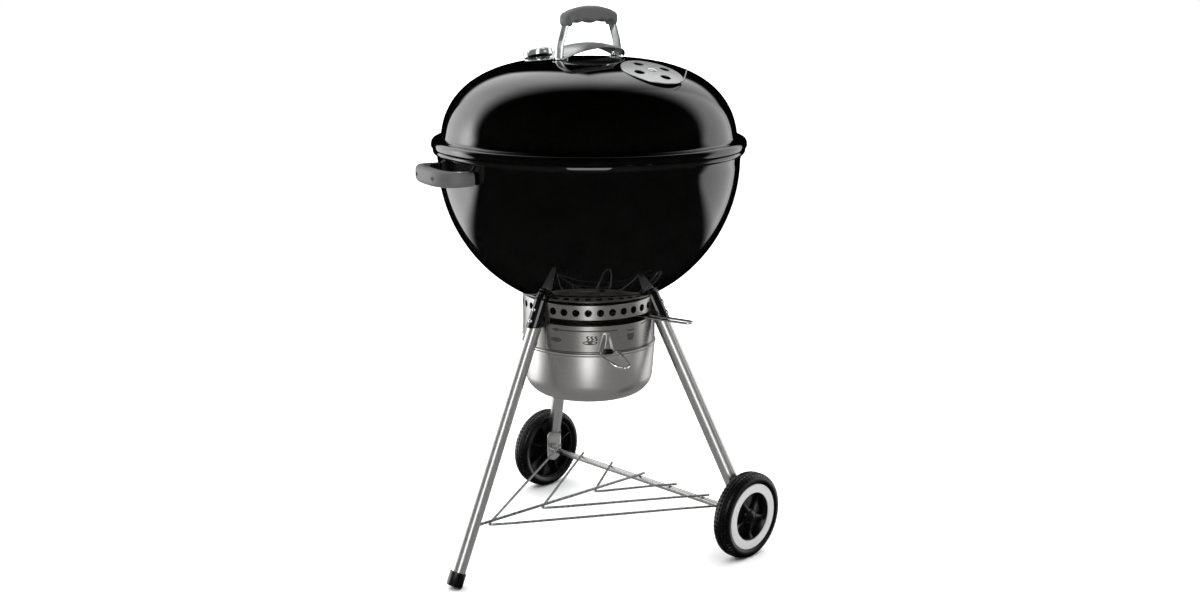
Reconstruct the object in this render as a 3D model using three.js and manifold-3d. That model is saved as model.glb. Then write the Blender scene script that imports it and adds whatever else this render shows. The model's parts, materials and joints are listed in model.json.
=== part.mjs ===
// Kettle charcoal grill. Millimetres, +Z up, front leg towards -Y, wheels behind on an axle along X.
// The group's origin is the centre of its bounding box at floor level.
import * as THREE from 'three';
import { mergeVertices } from 'three/addons/utils/BufferGeometryUtils.js';
import Module from 'manifold-3d';

const wasm = await Module();
wasm.setup();

// Overall sizes
const bowlRadius = 280;
const bowlDepth = 274.5;
const waistHeight = 748.5; // height of the bowl's widest level above the floor
const lidHeight = 162;
const wheelRadius = 82.8;
const legSplay = 24.5; // degrees from vertical

// Sheet, wire and tube stock
const gap = 0.3; // left between pieces that touch
const enamelSheet = 2;
const ringSheet = 2;
const panSheet = 1.8;
const legRadius = 12.7;
const legWall = 1.6;
const axleRadius = 6;
const wireRadius = 2.2;
const rackWireRadius = 2.6;

// Bowl and lid
const bowlRound = 2.11; // superellipse powers of the bowl, across and down
const bowlRoundDown = 1.93;
const lidRound = 2.87; // superellipse powers of the lid, across and up
const lidRoundUp = 2.31;
const rimRise = 22.5; // waist to rim bead centre
const beadRadius = 5.8;
const beadOffset = 3.2; // bead centre outside the bowl wall
const lidInset = 5.6; // lid dome inside the bowl radius
const flangeOverhang = 12;
const flangeDepth = 13;
const shaftRadius = 6;
const bowlVentReach = [46, 104];
const bowlVentAngle = 28;
const ventCount = 3;
const bladeClearance = 1.2;

// Ash ring and pan
const ringRadius = 125.6;
const ringHeight = 91.5;
const panelProud = 2;
const panelAngle = 107;
const holeRadius = 6.8;
const holesPerPanel = 10;
const holePitch = 10.35; // degrees
const holeDrop = 15.5; // below the ring's top
const slotHeight = 12;
const leverDrop = 9.2; // lever centre below the lowest point of the bowl
const slotSpan = [10, 112];
const panDepth = 98;
const panTopRadius = 127;
const panWaistRadius = 122;
const panRounding = 41;
const neckClearance = 1.2;
const tabHeight = 38;
const tabProud = 6;

// Lever and pan handle
const leverAngle = 102.5;
const leverReach = 222;
const leverWidth = 19;
const handleLoopAngle = 60;
const handleLoopReach = 250;
const handleLoopWidth = 36;

// Legs
const socketLength = 46;
const socketWidth = 34;
const socketWall = 2.4;
const footCapLength = 26;
const footCapWall = 2;
const paddleWidth = 40;
const paddleThickness = 4;
const paddleDrop = 23; // below the axle
const pinchRise = [30, 52]; // paddle top and tube end above the axle
const wheelWidth = 34.5;
const trimRadii = [46.8, 63.3];
const hubRadius = 63.6;

// Handles
const lidHandleSpan = 75; // half distance between the arms at the lid
const lidHandleHeight = 94;
const strapWidth = 20;
const strapThickness = 3;
const strapFoot = 15;
const shieldReach = 88;
const shieldRise = 24;
const gripHalfLength = 63;
const gripWidth = 27;
const sideHandleAngles = [-15, 173];
const sideHandleReach = 55;
const sideHandleHalfSpan = 84;
const sideHandleHeight = 30;
const sideHandleDrop = 7.5; // below the waist

// Lid fittings
const damperAngle = 88.5;
const damperCentreRadius = 161;
const damperRadius = 56;
const damperEdgeClearance = 0.4;
const damperLift = 0.5; // middle of the damper above the lid
const damperTabAngle = -58; // about the damper's own axis
const damperHoleAngle = 3;
const damperHoleRadius = 9.5;
const damperHoleCircle = 33;
const gaugeAngle = -92;
const gaugeCentreRadius = 140;
const gaugeRadius = 28.5;
const gaugeHeight = 19;

// Grates
const cookGrateRadius = 262;
const cookGrateDrop = 4; // below the waist
const coalGrateRadius = 212;
const coalGrateDrop = 168;
const cookGratePitch = 32;
const coalGratePitch = 46;
const grateWireRadius = 3;

const bowlSegments = 42;
const degree = Math.PI / 180;
const deep = 2000; // longer than any cut needs

// ---------- shapes ----------

function solid(geometry) {
  const bare = new THREE.BufferGeometry();
  bare.setAttribute('position', geometry.attributes.position.clone());
  if (geometry.index) {
    bare.setIndex(geometry.index);
  }
  const merged = mergeVertices(bare, 1e-4);
  const index = merged.index.array;
  const faces = [];
  for (let i = 0; i < index.length; i += 3) {
    const [a, b, c] = [index[i], index[i + 1], index[i + 2]];
    if (a !== b && b !== c && c !== a) {
      faces.push(a, b, c);
    }
  }
  return new wasm.Manifold(new wasm.Mesh({
    numProp: 3,
    vertProperties: new Float32Array(merged.attributes.position.array),
    triVerts: new Uint32Array(faces),
  }));
}

function signedArea(points) {
  let area = 0;
  points.forEach(([x, y], i) => {
    const [nextX, nextY] = points[(i + 1) % points.length];
    area += x * nextY - nextX * y;
  });
  return area / 2;
}

// Turned about Z from a profile of [radius, height] pairs; angle 0 is towards -Y.
function turned(profile, segments = 48) {
  const ordered = signedArea(profile) > 0 ? profile : [...profile].reverse();
  const onAxis = ordered.findIndex(([r]) => r === 0);
  const start = onAxis < 0 ? 0 : ordered.findIndex(
    ([r], i) => r === 0 && ordered[(i + 1) % ordered.length][0] > 0);
  const loop = [...ordered.slice(start), ...ordered.slice(0, start)];
  if (onAxis < 0) {
    loop.push(loop[0]);
  }
  const points = loop.map(([r, z]) => new THREE.Vector2(r, z));
  return solid(new THREE.LatheGeometry(points, segments).rotateX(Math.PI / 2));
}

function prism(points, low, high) {
  const shape = new THREE.Shape(points.map(([x, y]) => new THREE.Vector2(x, y)));
  const geometry = new THREE.ExtrudeGeometry(shape, { depth: high - low, bevelEnabled: false });
  return solid(geometry.translate(0, 0, low));
}

function cylinder(radius, low, high, segments = 24) {
  const geometry = new THREE.CylinderGeometry(radius, radius, high - low, segments);
  return solid(geometry.rotateX(Math.PI / 2).translate(0, 0, (low + high) / 2));
}

function block(low, high) {
  const size = high.map((value, i) => value - low[i]);
  const centre = high.map((value, i) => (value + low[i]) / 2);
  return solid(new THREE.BoxGeometry(...size).translate(...centre));
}

function wedge(from, to, radius = deep) {
  const steps = 8;
  const arc = [[0, 0]];
  for (let i = 0; i <= steps; i += 1) {
    const angle = (from + (to - from) * i / steps) * degree;
    arc.push([radius * Math.sin(angle), -radius * Math.cos(angle)]);
  }
  return prism(arc, -deep, deep);
}

class WirePath extends THREE.Curve {
  constructor(points) {
    super();
    this.points = points.map((point) => new THREE.Vector3(...point));
  }

  getPoint(t) {
    return this.points[Math.round(t * (this.points.length - 1))].clone();
  }

  getSpacedPoints() {
    return this.points;
  }

  getTangentAt(t) {
    const i = Math.round(t * (this.points.length - 1));
    const before = this.points[Math.max(i - 1, 0)];
    const after = this.points[Math.min(i + 1, this.points.length - 1)];
    const here = this.points[i];
    const into = i > 0 ? here.clone().sub(before).normalize() : new THREE.Vector3();
    const out = after === here ? new THREE.Vector3() : after.clone().sub(here).normalize();
    return into.add(out).normalize();
  }
}

// Corners of a path replaced by short curves.
function rounded(points, reach, steps = 4) {
  const path = [points[0]];
  for (let i = 1; i < points.length - 1; i += 1) {
    const corner = new THREE.Vector3(...points[i]);
    const before = new THREE.Vector3(...points[i - 1]).sub(corner);
    const after = new THREE.Vector3(...points[i + 1]).sub(corner);
    const start = corner.clone().add(before.setLength(Math.min(reach, before.length() / 2.01)));
    const end = corner.clone().add(after.setLength(Math.min(reach, after.length() / 2.01)));
    const curve = new THREE.QuadraticBezierCurve3(start, corner, end);
    curve.getPoints(steps).forEach((point) => path.push(point.toArray()));
  }
  path.push(points[points.length - 1]);
  return path;
}

function wire(points, radius, sides = 8) {
  const section = new THREE.Shape();
  for (let i = 0; i <= sides; i += 1) {
    const angle = i * 2 * Math.PI / sides;
    const [x, y] = [radius * Math.cos(angle), radius * Math.sin(angle)];
    if (i === 0) {
      section.moveTo(x, y);
    } else if (i < sides) {
      section.lineTo(x, y);
    }
  }
  const path = new WirePath(points);
  return solid(new THREE.ExtrudeGeometry(section, { steps: points.length - 1, extrudePath: path }));
}

// A side profile of [y, z] pairs given a width along X.
function sideProfile(points, width) {
  return prism(points, -width / 2, width / 2).rotate([90, 0, 90]);
}

function joined(pieces) {
  return pieces.reduce((whole, piece) => whole.add(piece));
}

function around(angle, radius, height) {
  return [radius * Math.sin(angle * degree), -radius * Math.cos(angle * degree), height];
}

// ---------- surfaces shared by several pieces ----------

function bowlProfile(offset, fromRadius, steps = 9) {
  const first = Math.acos((fromRadius / (bowlRadius + offset)) ** (bowlRound / 2));
  const points = [];
  for (let i = 0; i <= steps; i += 1) {
    const u = first * (1 - i / steps);
    points.push([
      (bowlRadius + offset) * Math.cos(u) ** (2 / bowlRound),
      waistHeight - (bowlDepth + offset) * Math.sin(u) ** (2 / bowlRoundDown),
    ]);
  }
  return points;
}

function bowlHeightAt(radius) {
  const u = Math.acos((radius / bowlRadius) ** (bowlRound / 2));
  return waistHeight - bowlDepth * Math.sin(u) ** (2 / bowlRoundDown);
}

const rimCentre = waistHeight + rimRise;
const rimTop = rimCentre + beadRadius;
const lidRadius = bowlRadius - lidInset;
const lipBottom = rimTop + gap;
const lidBase = lipBottom - 2.6;

function lidProfile(offset, lowest, steps = 8) {
  const last = Math.asin(Math.min(1, (1 - ((lowest - lidBase) / lidHeight) ** lidRoundUp) ** 0.5));
  const points = [];
  for (let i = 0; i <= steps; i += 1) {
    const u = last * i / steps;
    points.push([
      i === 0 ? 0 : (lidRadius + offset) * Math.sin(u) ** (2 / lidRound),
      lidBase + (lidHeight + offset) * Math.cos(u) ** (2 / lidRoundUp),
    ]);
  }
  return points;
}

function lidHeightAt(radius) {
  return lidBase + lidHeight * (1 - (radius / lidRadius) ** lidRound) ** (1 / lidRoundUp);
}

function lidTiltAt(radius) {
  const rise = lidHeightAt(radius - 1) - lidHeightAt(radius + 1);
  return Math.atan2(rise, 2) / degree;
}

// Moves a piece drawn around the origin on to the lid, its +Z along the lid's normal.
function onLid(piece, angle, radius) {
  const tilted = piece.rotate([lidTiltAt(radius), 0, 0]);
  return tilted.translate([0, -radius, lidHeightAt(radius)]).rotate([0, 0, angle]);
}

const seat = 2 * gap;
const bowlEnvelope = turned([[0, waistHeight - bowlDepth - seat], ...bowlProfile(seat, shaftRadius + gap),
  [bowlRadius + seat, rimCentre + 60], [0, rimCentre + 60]], bowlSegments);

// ---------- bowl ----------

function bowl() {
  const hole = shaftRadius + gap;
  const bead = [];
  for (let i = 0; i <= 5; i += 1) {
    const angle = (-115 + 295 * i / 5) * degree;
    bead.push([bowlRadius + beadOffset + beadRadius * Math.cos(angle),
      rimCentre + beadRadius * Math.sin(angle)]);
  }
  const inner = bowlProfile(-enamelSheet, hole).reverse();
  let body = turned([...bowlProfile(0, hole), ...bead, ...inner], bowlSegments);
  for (let i = 0; i < ventCount; i += 1) {
    const centre = 60 + i * 360 / ventCount;
    const [near, far] = bowlVentReach;
    const sector = wedge(centre - bowlVentAngle / 2, centre + bowlVentAngle / 2);
    const band = turned([[near, 0], [far, 0], [far, waistHeight - 100], [near, waistHeight - 100]]);
    body = body.subtract(band.intersect(sector));
  }
  return joined([body, ...grateTabs(cookGrateRadius, cookGrateDrop), ...grateTabs(coalGrateRadius,
    coalGrateDrop)]);
}

function bowlInsideRadiusAt(height) {
  const down = (waistHeight - height) / (bowlDepth - enamelSheet);
  const u = Math.asin(Math.min(1, Math.max(0, down)) ** (bowlRoundDown / 2));
  return (bowlRadius - enamelSheet) * Math.cos(u) ** (2 / bowlRound);
}

function grateTabs(grateRadius, drop) {
  const top = waistHeight - drop - grateWireRadius - gap;
  const outer = bowlInsideRadiusAt(top - 2) + enamelSheet / 2;
  const tabs = [];
  for (let i = 0; i < 4; i += 1) {
    const tab = block([-11, -outer, top - 3], [11, -grateRadius + 8, top]);
    tabs.push(tab.rotate([0, 0, 45 + i * 90]));
  }
  return tabs;
}

// ---------- lid ----------

function lid() {
  const domeFoot = lipBottom + flangeDepth + 5;
  const flange = bowlRadius + flangeOverhang;
  const outer = lidProfile(0, domeFoot);
  const inner = lidProfile(-enamelSheet, domeFoot).reverse();
  const lip = [
    [flange - 8, lipBottom + flangeDepth],
    [flange - 2, lipBottom + flangeDepth - 1.2],
    [flange, lipBottom + flangeDepth / 2],
    [flange - 3, lipBottom],
    [flange - 13, lipBottom + 0.6],
    [lidRadius + 2, lipBottom + flangeDepth - 1],
    [lidRadius - 3, lipBottom + flangeDepth + 1],
  ];
  const holes = [cylinder(2.5 + gap, -9, 9, 12)];
  for (let i = 0; i < 4; i += 1) {
    const hole = cylinder(damperHoleRadius - 0.8, -12, 12, 10);
    holes.push(hole.translate([damperHoleCircle, 0, 0]).rotate([0, 0, 45 + i * 90 - 1.5]));
  }
  const vents = holes.map((hole) => onLid(hole, damperAngle, damperCentreRadius));
  const stem = onLid(cylinder(4 + gap, -9, 9, 12), gaugeAngle, gaugeCentreRadius);
  let body = turned([...outer, ...lip, ...inner], bowlSegments);
  [...vents, stem].forEach((hole) => {
    body = body.subtract(hole);
  });
  return body;
}

// least distance the lid falls away below the rim of the damper's flat plane
function leastDropAtDamper() {
  const tilt = lidTiltAt(damperCentreRadius) * degree;
  const middle = lidHeightAt(damperCentreRadius);
  let least = Infinity;
  for (let turn = 0; turn < 360; turn += 15) {
    const along = damperRadius * Math.sin(turn * degree);
    const reach = Math.hypot(damperRadius * Math.cos(turn * degree), along * Math.cos(tilt) - damperCentreRadius);
    const drop = middle + along * Math.sin(tilt) - lidHeightAt(reach);
    least = Math.min(least, drop * Math.cos(tilt));
  }
  return least;
}

const damperSag = leastDropAtDamper() + damperLift - damperEdgeClearance;

function lidDamper() {
  const under = (radius) => damperLift - damperSag * (radius / damperRadius) ** 2;
  const thickness = 1.6;
  const radii = [4, 30, damperRadius];
  const top = radii.map((r) => [r, under(r) + thickness]);
  const bottom = radii.map((r) => [r, under(r)]).reverse();
  let disc = turned([...top, ...bottom], 30);
  for (let i = 0; i < 4; i += 1) {
    const hole = cylinder(damperHoleRadius, -12, 12, 12).translate([damperHoleCircle, 0, 0]);
    disc = disc.subtract(hole.rotate([0, 0, damperHoleAngle + i * 90]));
  }
  const edge = under(damperRadius);
  const tab = joined([
    block([damperRadius - 3, -6, edge], [damperRadius + 4, 6, edge + thickness]),
    block([damperRadius + 4 - thickness, -6, edge], [damperRadius + 4, 6, edge + 24]),
  ]);
  return onLid(disc.add(tab.rotate([0, 0, damperTabAngle])), damperAngle, damperCentreRadius);
}

function damperRivet() {
  const stemTop = damperLift + 1.6 + gap;
  const profile = [[0, -5.2], [2.5, -5.2], [2.5, stemTop], [9, stemTop], [7.5, stemTop + 2], [3,
    stemTop + 3],
    [0, stemTop + 3.2]];
  return onLid(turned(profile, 12), damperAngle, damperCentreRadius);
}

function gaugeCase() {
  const r = gaugeRadius;
  const h = gaugeHeight;
  const profile = [[0, -70], [2.2, -68], [2.2, -4], [4, -4], [4, 2.2], [r - 4, 2.4], [r - 1, 5], [r,
    h * 0.55],
    [r - 0.8, h - 3], [r - 3, h], [r - 5, h], [r - 5, h - 4], [0, h - 4]];
  return onLid(turned(profile, 24), gaugeAngle, gaugeCentreRadius);
}

function gaugeDial() {
  const dial = cylinder(gaugeRadius - 5 - gap, gaugeHeight - 4 + gap, gaugeHeight - 3, 32);
  return onLid(dial, gaugeAngle, gaugeCentreRadius);
}

function gaugeNeedle() {
  const base = gaugeHeight - 3 + gap;
  const needle = prism([[-2, -6], [2, -6], [0.6, 17], [-0.6, 17]], base, base + 0.8);
  const boss = cylinder(3, base, base + 1.6, 12);
  return onLid(needle.add(boss).rotate([0, 0, 40]), gaugeAngle, gaugeCentreRadius);
}

const handleTop = lidHeightAt(lidHandleSpan) + lidHandleHeight;

// Points of the lid handle's strap line, [y, z], from one foot to the other.
function strapLine(offset) {
  const foot = lidHeightAt(lidHandleSpan) + 1.2;
  const half = [
    [lidHandleSpan + 1 + offset, foot],
    [lidHandleSpan - 2 + offset, foot + 26],
    [lidHandleSpan - 11 + offset, foot + 50],
    [lidHandleSpan - 17 + offset, foot + 68],
    [lidHandleSpan - 26 + offset / 2, foot + 76 + offset],
    [20, foot + 79 + offset],
  ];
  const mirror = half.map(([y, z]) => [-y, z]);
  return [...half, ...mirror.reverse()];
}

function lidStrap() {
  const outer = strapLine(strapThickness / 2);
  const inner = strapLine(-strapThickness / 2).reverse();
  const foot = lidHeightAt(lidHandleSpan);
  const feet = [-1, 1].map((side) => {
    const y = side * (lidHandleSpan + 2 - strapFoot / 2);
    return block([-strapWidth / 2, y - strapFoot / 2, foot + 1.2], [strapWidth / 2, y + strapFoot / 2,
      foot + 3.6]);
  });
  return joined([sideProfile([...outer, ...inner], strapWidth), ...feet]);
}

function lidGrip() {
  const top = handleTop;
  const half = [
    [gripHalfLength, top - 37], [gripHalfLength + 2, top - 30], [gripHalfLength, top - 14],
    [gripHalfLength - 6, top - 9], [gripHalfLength - 26, top - 3], [14, top],
  ];
  const under = [
    [gripHalfLength - 14, top - 40], [gripHalfLength - 20, top - 32], [gripHalfLength - 32, top - 29],
    [16, top - 32],
  ];
  const outline = [
    ...half, ...half.map(([y, z]) => [-y, z]).reverse(),
    ...under.map(([y, z]) => [-y, z]), ...under.reverse(),
  ];
  const body = sideProfile(outline, gripWidth);
  const outer = strapLine(strapThickness / 2 + gap);
  const inner = strapLine(-strapThickness / 2 - gap).reverse();
  return body.subtract(sideProfile([...outer, ...inner], strapWidth + 2 * gap));
}

function heatShield() {
  const outer = [];
  const steps = 10;
  const reach = shieldReach;
  const lift = lidHeightAt(lidHandleSpan) + 4 + gap;
  for (let i = 0; i <= steps; i += 1) {
    const y = reach * (2 * i / steps - 1);
    outer.push([y, lift + shieldRise * (1 - (y / reach) ** 2)]);
  }
  const inner = outer.map(([y, z]) => [y, z + 1.5]).reverse();
  const sheet = sideProfile([...outer, ...inner], 120);
  const oval = cylinder(1, 0, deep, 32).scale([46, reach, 1]);
  let body = sheet.intersect(oval);
  [-1, 1].forEach((side) => {
    const y = side * lidHandleSpan;
    const slot = block([-strapWidth / 2 - gap, y - 4, 0], [strapWidth / 2 + gap, y + 8, deep]);
    body = body.subtract(slot);
  });
  return body;
}

function lidBolt(side) {
  const base = lidHeightAt(lidHandleSpan) + 3.6 + gap;
  const head = cylinder(4.5, base, base + 3.4, 12);
  return head.translate([0, side * (lidHandleSpan - strapFoot / 2 - 1), 0]);
}

// ---------- ash ring and pan ----------

const ringTop = bowlHeightAt(ringRadius - panelProud - ringSheet) - gap;
const ringBottom = ringTop - ringHeight;

function legAxisRadius(height) {
  return ringRadius + 25.9 + Math.tan(legSplay * degree) * (ringTop - 70.3 - height);
}

// Moves a piece drawn along Z on to the front leg's line; its origin goes to the given height.
function onLeg(piece, height) {
  return piece.rotate([-legSplay, 0, 0]).translate([0, -legAxisRadius(height), height]);
}

function ashRing() {
  const wallOuter = ringRadius - panelProud;
  const wallInner = wallOuter - ringSheet;
  let body = turned([[wallInner, ringBottom], [wallOuter, ringBottom], [wallOuter, ringTop],
    [wallInner, ringTop]], bowlSegments);
  const band = turned([[wallInner, ringBottom + 2], [ringRadius, ringBottom + 2], [ringRadius,
    ringTop - 1],
    [wallInner, ringTop - 1]], bowlSegments);
  [60, 180, 300].forEach((centre) => {
    body = body.add(band.intersect(wedge(centre - panelAngle / 2, centre, ringRadius * 3)));
    body = body.add(band.intersect(wedge(centre - 0.5, centre + panelAngle / 2, ringRadius * 3)));
    const tab = prism([[-7, -ringRadius - 3], [7, -ringRadius - 3], [11, -ringRadius + 3], [-11,
      -ringRadius + 3]],
      ringBottom + 3, ringBottom + tabHeight);
    const lowTab = block([-11, -ringRadius - tabProud, ringBottom + 3], [11, -ringRadius + 3,
      ringBottom + 12]);
    body = joined([body, tab.rotate([0, 0, centre]), lowTab.rotate([0, 0, centre])]);
  });
  const core = cylinder(wallInner, ringBottom - 5, ringTop + 5, bowlSegments);
  body = body.subtract(core);
  for (let panel = 0; panel < 3; panel += 1) {
    for (let i = 0; i < holesPerPanel; i += 1) {
      const angle = 60 + panel * 120 + (i - (holesPerPanel - 1) / 2) * holePitch;
      const hole = cylinder(holeRadius, ringRadius - 12, ringRadius + 12, 8).rotate([90, 0, 0]);
      body = body.subtract(hole.translate([0, 0, ringTop - holeDrop]).rotate([0, 0, angle]));
    }
  }
  const slotTop = leverHeight + slotHeight / 2;
  const slotBottom = leverHeight - slotHeight / 2;
  const slot = turned([[wallInner - 9, slotBottom], [ringRadius + 9, slotBottom], [ringRadius + 9,
    slotTop],
    [wallInner - 9, slotTop]], bowlSegments);
  body = body.subtract(slot.intersect(wedge(slotSpan[0], slotSpan[1], ringRadius * 3)));
  const notch = onLeg(block([-socketWidth / 2 - gap, -deep, -socketLength], [socketWidth / 2 + gap,
    deep, 90]), ringTop);
  const notchFront = notch.intersect(block([-50, -ringRadius - 20, socketFoot - gap], [50, -60,
    ringTop + 20]));
  const legHole = onLeg(cylinder(legRadius + gap, -deep, deep, 24), ringTop);
  [0, 120, 240].forEach((angle) => {
    body = body.subtract(notchFront.rotate([0, 0, angle]));
    body = body.subtract(legHole.rotate([0, 0, angle]));
  });
  return body.subtract(bowlEnvelope);
}

function ashPan() {
  const top = ringBottom - gap;
  const neck = ringRadius - panelProud - ringSheet - neckClearance;
  const floor = top - panDepth - 5;
  const rounding = (shrink) => {
    const points = [];
    for (let i = 0; i <= 4; i += 1) {
      const angle = i * 22.5 * degree;
      points.push([panWaistRadius - panRounding + (panRounding - shrink) * Math.cos(angle),
        floor + panRounding - (panRounding - shrink) * Math.sin(angle)]);
    }
    return points;
  };
  const profile = [
    [neck - panSheet, top + 11], [neck, top + 11], [neck, top - 0.4], [panTopRadius, top - 0.4],
    [panTopRadius + 0.6, top - 3], [panTopRadius - 0.4, top - 6],
    ...rounding(0), [0, floor], [0, floor + panSheet], ...rounding(panSheet).reverse(),
    [neck - panSheet, top - 8],
  ];
  return turned(profile, 32);
}

const loopHeight = ringBottom + 6;

function panHandle() {
  const start = ringRadius + tabProud + 5.5;
  const half = handleLoopWidth / 2;
  const outline = [
    [-9, -start, 0], [-half, -start - 9, 0], [-half, -start - 32, 0], [-half * 0.72,
      -handleLoopReach + 16, 0],
    [0, -handleLoopReach - 3, 0],
    [half * 0.72, -handleLoopReach + 16, 0], [half, -start - 32, 0], [half, -start - 9, 0], [9, -start,
      0],
  ];
  const loop = wire(rounded(outline, 9, 2), wireRadius, 6);
  const cross = wire([[-9.6, -start, 0], [9.6, -start, 0]], wireRadius, 6);
  return loop.add(cross).translate([0, 0, loopHeight]).rotate([0, 0, handleLoopAngle]);
}

function handleHinge() {
  const start = ringRadius + tabProud + 5.5;
  const sleeve = cylinder(wireRadius + 2.2, -7.5, 7.5, 14).rotate([0, 90, 0]).translate([0, -start,
    loopHeight]);
  const plate = block([-7.5, -start, loopHeight - 4], [7.5, -ringRadius - tabProud - gap,
    loopHeight + 4]);
  const lug = block([-5, -ringRadius - tabProud - 4, ringBottom - 8], [5, -ringRadius - tabProud - gap,
    loopHeight]);
  const bore = cylinder(wireRadius + gap, -40, 40, 14).rotate([0, 90, 0]).translate([0, -start,
    loopHeight]);
  return joined([sleeve, plate, lug]).subtract(bore).rotate([0, 0, handleLoopAngle]);
}

// ---------- sweep ----------

const leverHeight = waistHeight - bowlDepth - leverDrop;

function lever() {
  const half = leverWidth / 2;
  const outline = [[-half, -7, 0], [-half, -leverReach + 12, 0], [-half * 0.8, -leverReach, 0],
    [half * 0.8, -leverReach, 0], [half, -leverReach + 12, 0], [half, -7, 0]];
  return wire(rounded(outline, 7, 3), wireRadius).translate([0, 0, leverHeight]).rotate([0, 0,
    leverAngle]);
}

function sweepShaft() {
  const bowlFloor = waistHeight - bowlDepth;
  const drum = cylinder(leverWidth / 2 + 7, leverHeight - 5, leverHeight + 5, 20);
  const rod = cylinder(shaftRadius, leverHeight, bowlFloor + 12, 20);
  let body = drum.add(rod);
  [-1, 1].forEach((side) => {
    const bore = cylinder(wireRadius + gap, 6, 40, 12).rotate([90, 0, 0]);
    const placed = bore.translate([side * leverWidth / 2, 0, leverHeight]).rotate([0, 0, leverAngle]);
    body = body.subtract(placed);
  });
  return body;
}

function sweepBlades() {
  const lift = enamelSheet + bladeClearance;
  const reach = bowlVentReach[1] + 8;
  const under = bowlProfile(-lift, shaftRadius + gap).filter(([r]) => r < reach);
  const over = under.map(([r, z]) => [r, z + 1.6]).reverse();
  const sheet = turned([[0, under[0][1]], ...under, ...over, [0, under[0][1] + 1.6]]);
  let body = sheet.intersect(cylinder(20, 0, deep, 24));
  for (let i = 0; i < ventCount; i += 1) {
    const centre = i * 360 / ventCount;
    body = body.add(sheet.intersect(wedge(centre - bowlVentAngle / 2 - 2,
      centre + bowlVentAngle / 2 + 2)));
  }
  return body.subtract(cylinder(shaftRadius + gap, 0, deep, 20));
}

function sweepNut() {
  const seat = waistHeight - bowlDepth + enamelSheet + 4.5;
  const nut = cylinder(10, seat, seat + 5, 6);
  return nut.subtract(cylinder(shaftRadius + gap, 0, deep, 20));
}

// ---------- legs ----------

const socketFoot = ringTop - socketLength;

function legSocket() {
  const half = socketWidth / 2;
  const room = legRadius + gap;
  const outer = block([-half, -room - socketWall, -deep / 10], [half, legRadius + 1, deep / 10]);
  const channel = block([-room - 1, -room, -deep], [room + 1, deep, deep]);
  const body = onLeg(outer.subtract(channel), socketFoot);
  return body.subtract(bowlEnvelope).intersect(block([-60, -deep, socketFoot], [60, 0, deep]));
}

function legTube(end) {
  const length = (ringTop + 40 - end) / Math.cos(legSplay * degree);
  const outer = cylinder(legRadius, 0, length, 24);
  const bore = cylinder(legRadius - legWall, -1, length + 1, 24);
  return onLeg(outer.subtract(bore), end).subtract(bowlEnvelope);
}

const capRadius = legRadius + gap + footCapWall;
const capEnd = capRadius * Math.sin(legSplay * degree) - 1.2;

function frontLeg() {
  const tube = legTube(capEnd + 3.5);
  const hole = wire([rackPoint(0, -legAxisRadius(rackFrontHeight)), rackPoint(0, 0)],
    rackWireRadius + gap, 12);
  return tube.subtract(hole);
}

function footCap() {
  const cup = cylinder(capRadius, 0, footCapLength, 28);
  const seat = cylinder(legRadius + gap, 3.5 / Math.cos(legSplay * degree) - gap, deep, 24);
  return onLeg(cup.subtract(seat), capEnd).intersect(block([-deep, -deep, 0], [deep, deep, deep]));
}

const axleHeight = wheelRadius;
const pinchHeight = axleHeight + (pinchRise[0] + pinchRise[1]) / 2 - 5;
const rearAngle = 120;
const axleY = -legAxisRadius(pinchHeight) * Math.cos(rearAngle * degree);
const paddleX = legAxisRadius(pinchHeight) * Math.sin(rearAngle * degree);

function rearLeg(side) {
  const tubeEnd = axleHeight + pinchRise[1];
  const tube = legTube(tubeEnd).rotate([0, 0, side * rearAngle]);
  const slice = onLeg(cylinder(legRadius, 0, 0.4, 24), tubeEnd).rotate([0, 0, side * rearAngle]);
  const half = paddleWidth / 2;
  const top = axleHeight + pinchRise[0];
  const x = side * paddleX;
  const plateTop = block([x - paddleThickness / 2, axleY - half, top - 2], [x + paddleThickness / 2,
    axleY + half, top]);
  const plate = [
    [half, top - 1], [half, axleHeight - paddleDrop + 9], [half - 9, axleHeight - paddleDrop],
  ];
  const outline = [...plate, ...plate.map(([y, z]) => [-y, z]).reverse()].map(([y, z]) => [y + axleY, z]);
  const paddle = sideProfile(outline, paddleThickness).translate([x, 0, 0]);
  const pinch = wasm.Manifold.hull([slice, plateTop]);
  const bore = cylinder(axleRadius + gap, -20, 20, 24).rotate([0, 90, 0]).translate([x, axleY,
    axleHeight]);
  return joined([tube, pinch, paddle]).subtract(bore);
}

function legScrew(angle, drop) {
  const profile = [[0, 0], [4.6, 0], [4.2, 1.8], [2, 2.8], [0, 3]];
  const seat = legRadius + gap + socketWall + gap;
  const head = turned(profile, 14).rotate([90, 0, 0]).translate([0, -seat, 0]);
  return onLeg(head, ringTop - drop).rotate([0, 0, angle]);
}

// ---------- axle, rack and wheels ----------

const wheelInnerX = paddleX + paddleThickness / 2 + 4;
const wheelOuterX = wheelInnerX + wheelWidth;

function axle() {
  const reach = wheelOuterX - 9;
  return cylinder(axleRadius, -reach, reach, 20).rotate([0, 90, 0]).translate([0, axleY, axleHeight]);
}

const rackRearHeight = axleHeight + axleRadius + rackWireRadius + gap;
const rackFrontHeight = rackRearHeight + 14;

function rackPoint(x, y) {
  const front = -legAxisRadius(rackFrontHeight);
  const share = Math.min(1, (axleY - y) / (axleY - front));
  return [x, y, rackRearHeight + (rackFrontHeight - rackRearHeight) * Math.max(0, share)];
}

function rackSpine() {
  const front = -legAxisRadius(rackFrontHeight) + 4;
  const past = rackPoint(0, axleY + 12);
  return wire([rackPoint(0, front), rackPoint(0, axleY), past], rackWireRadius, 10);
}

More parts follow.
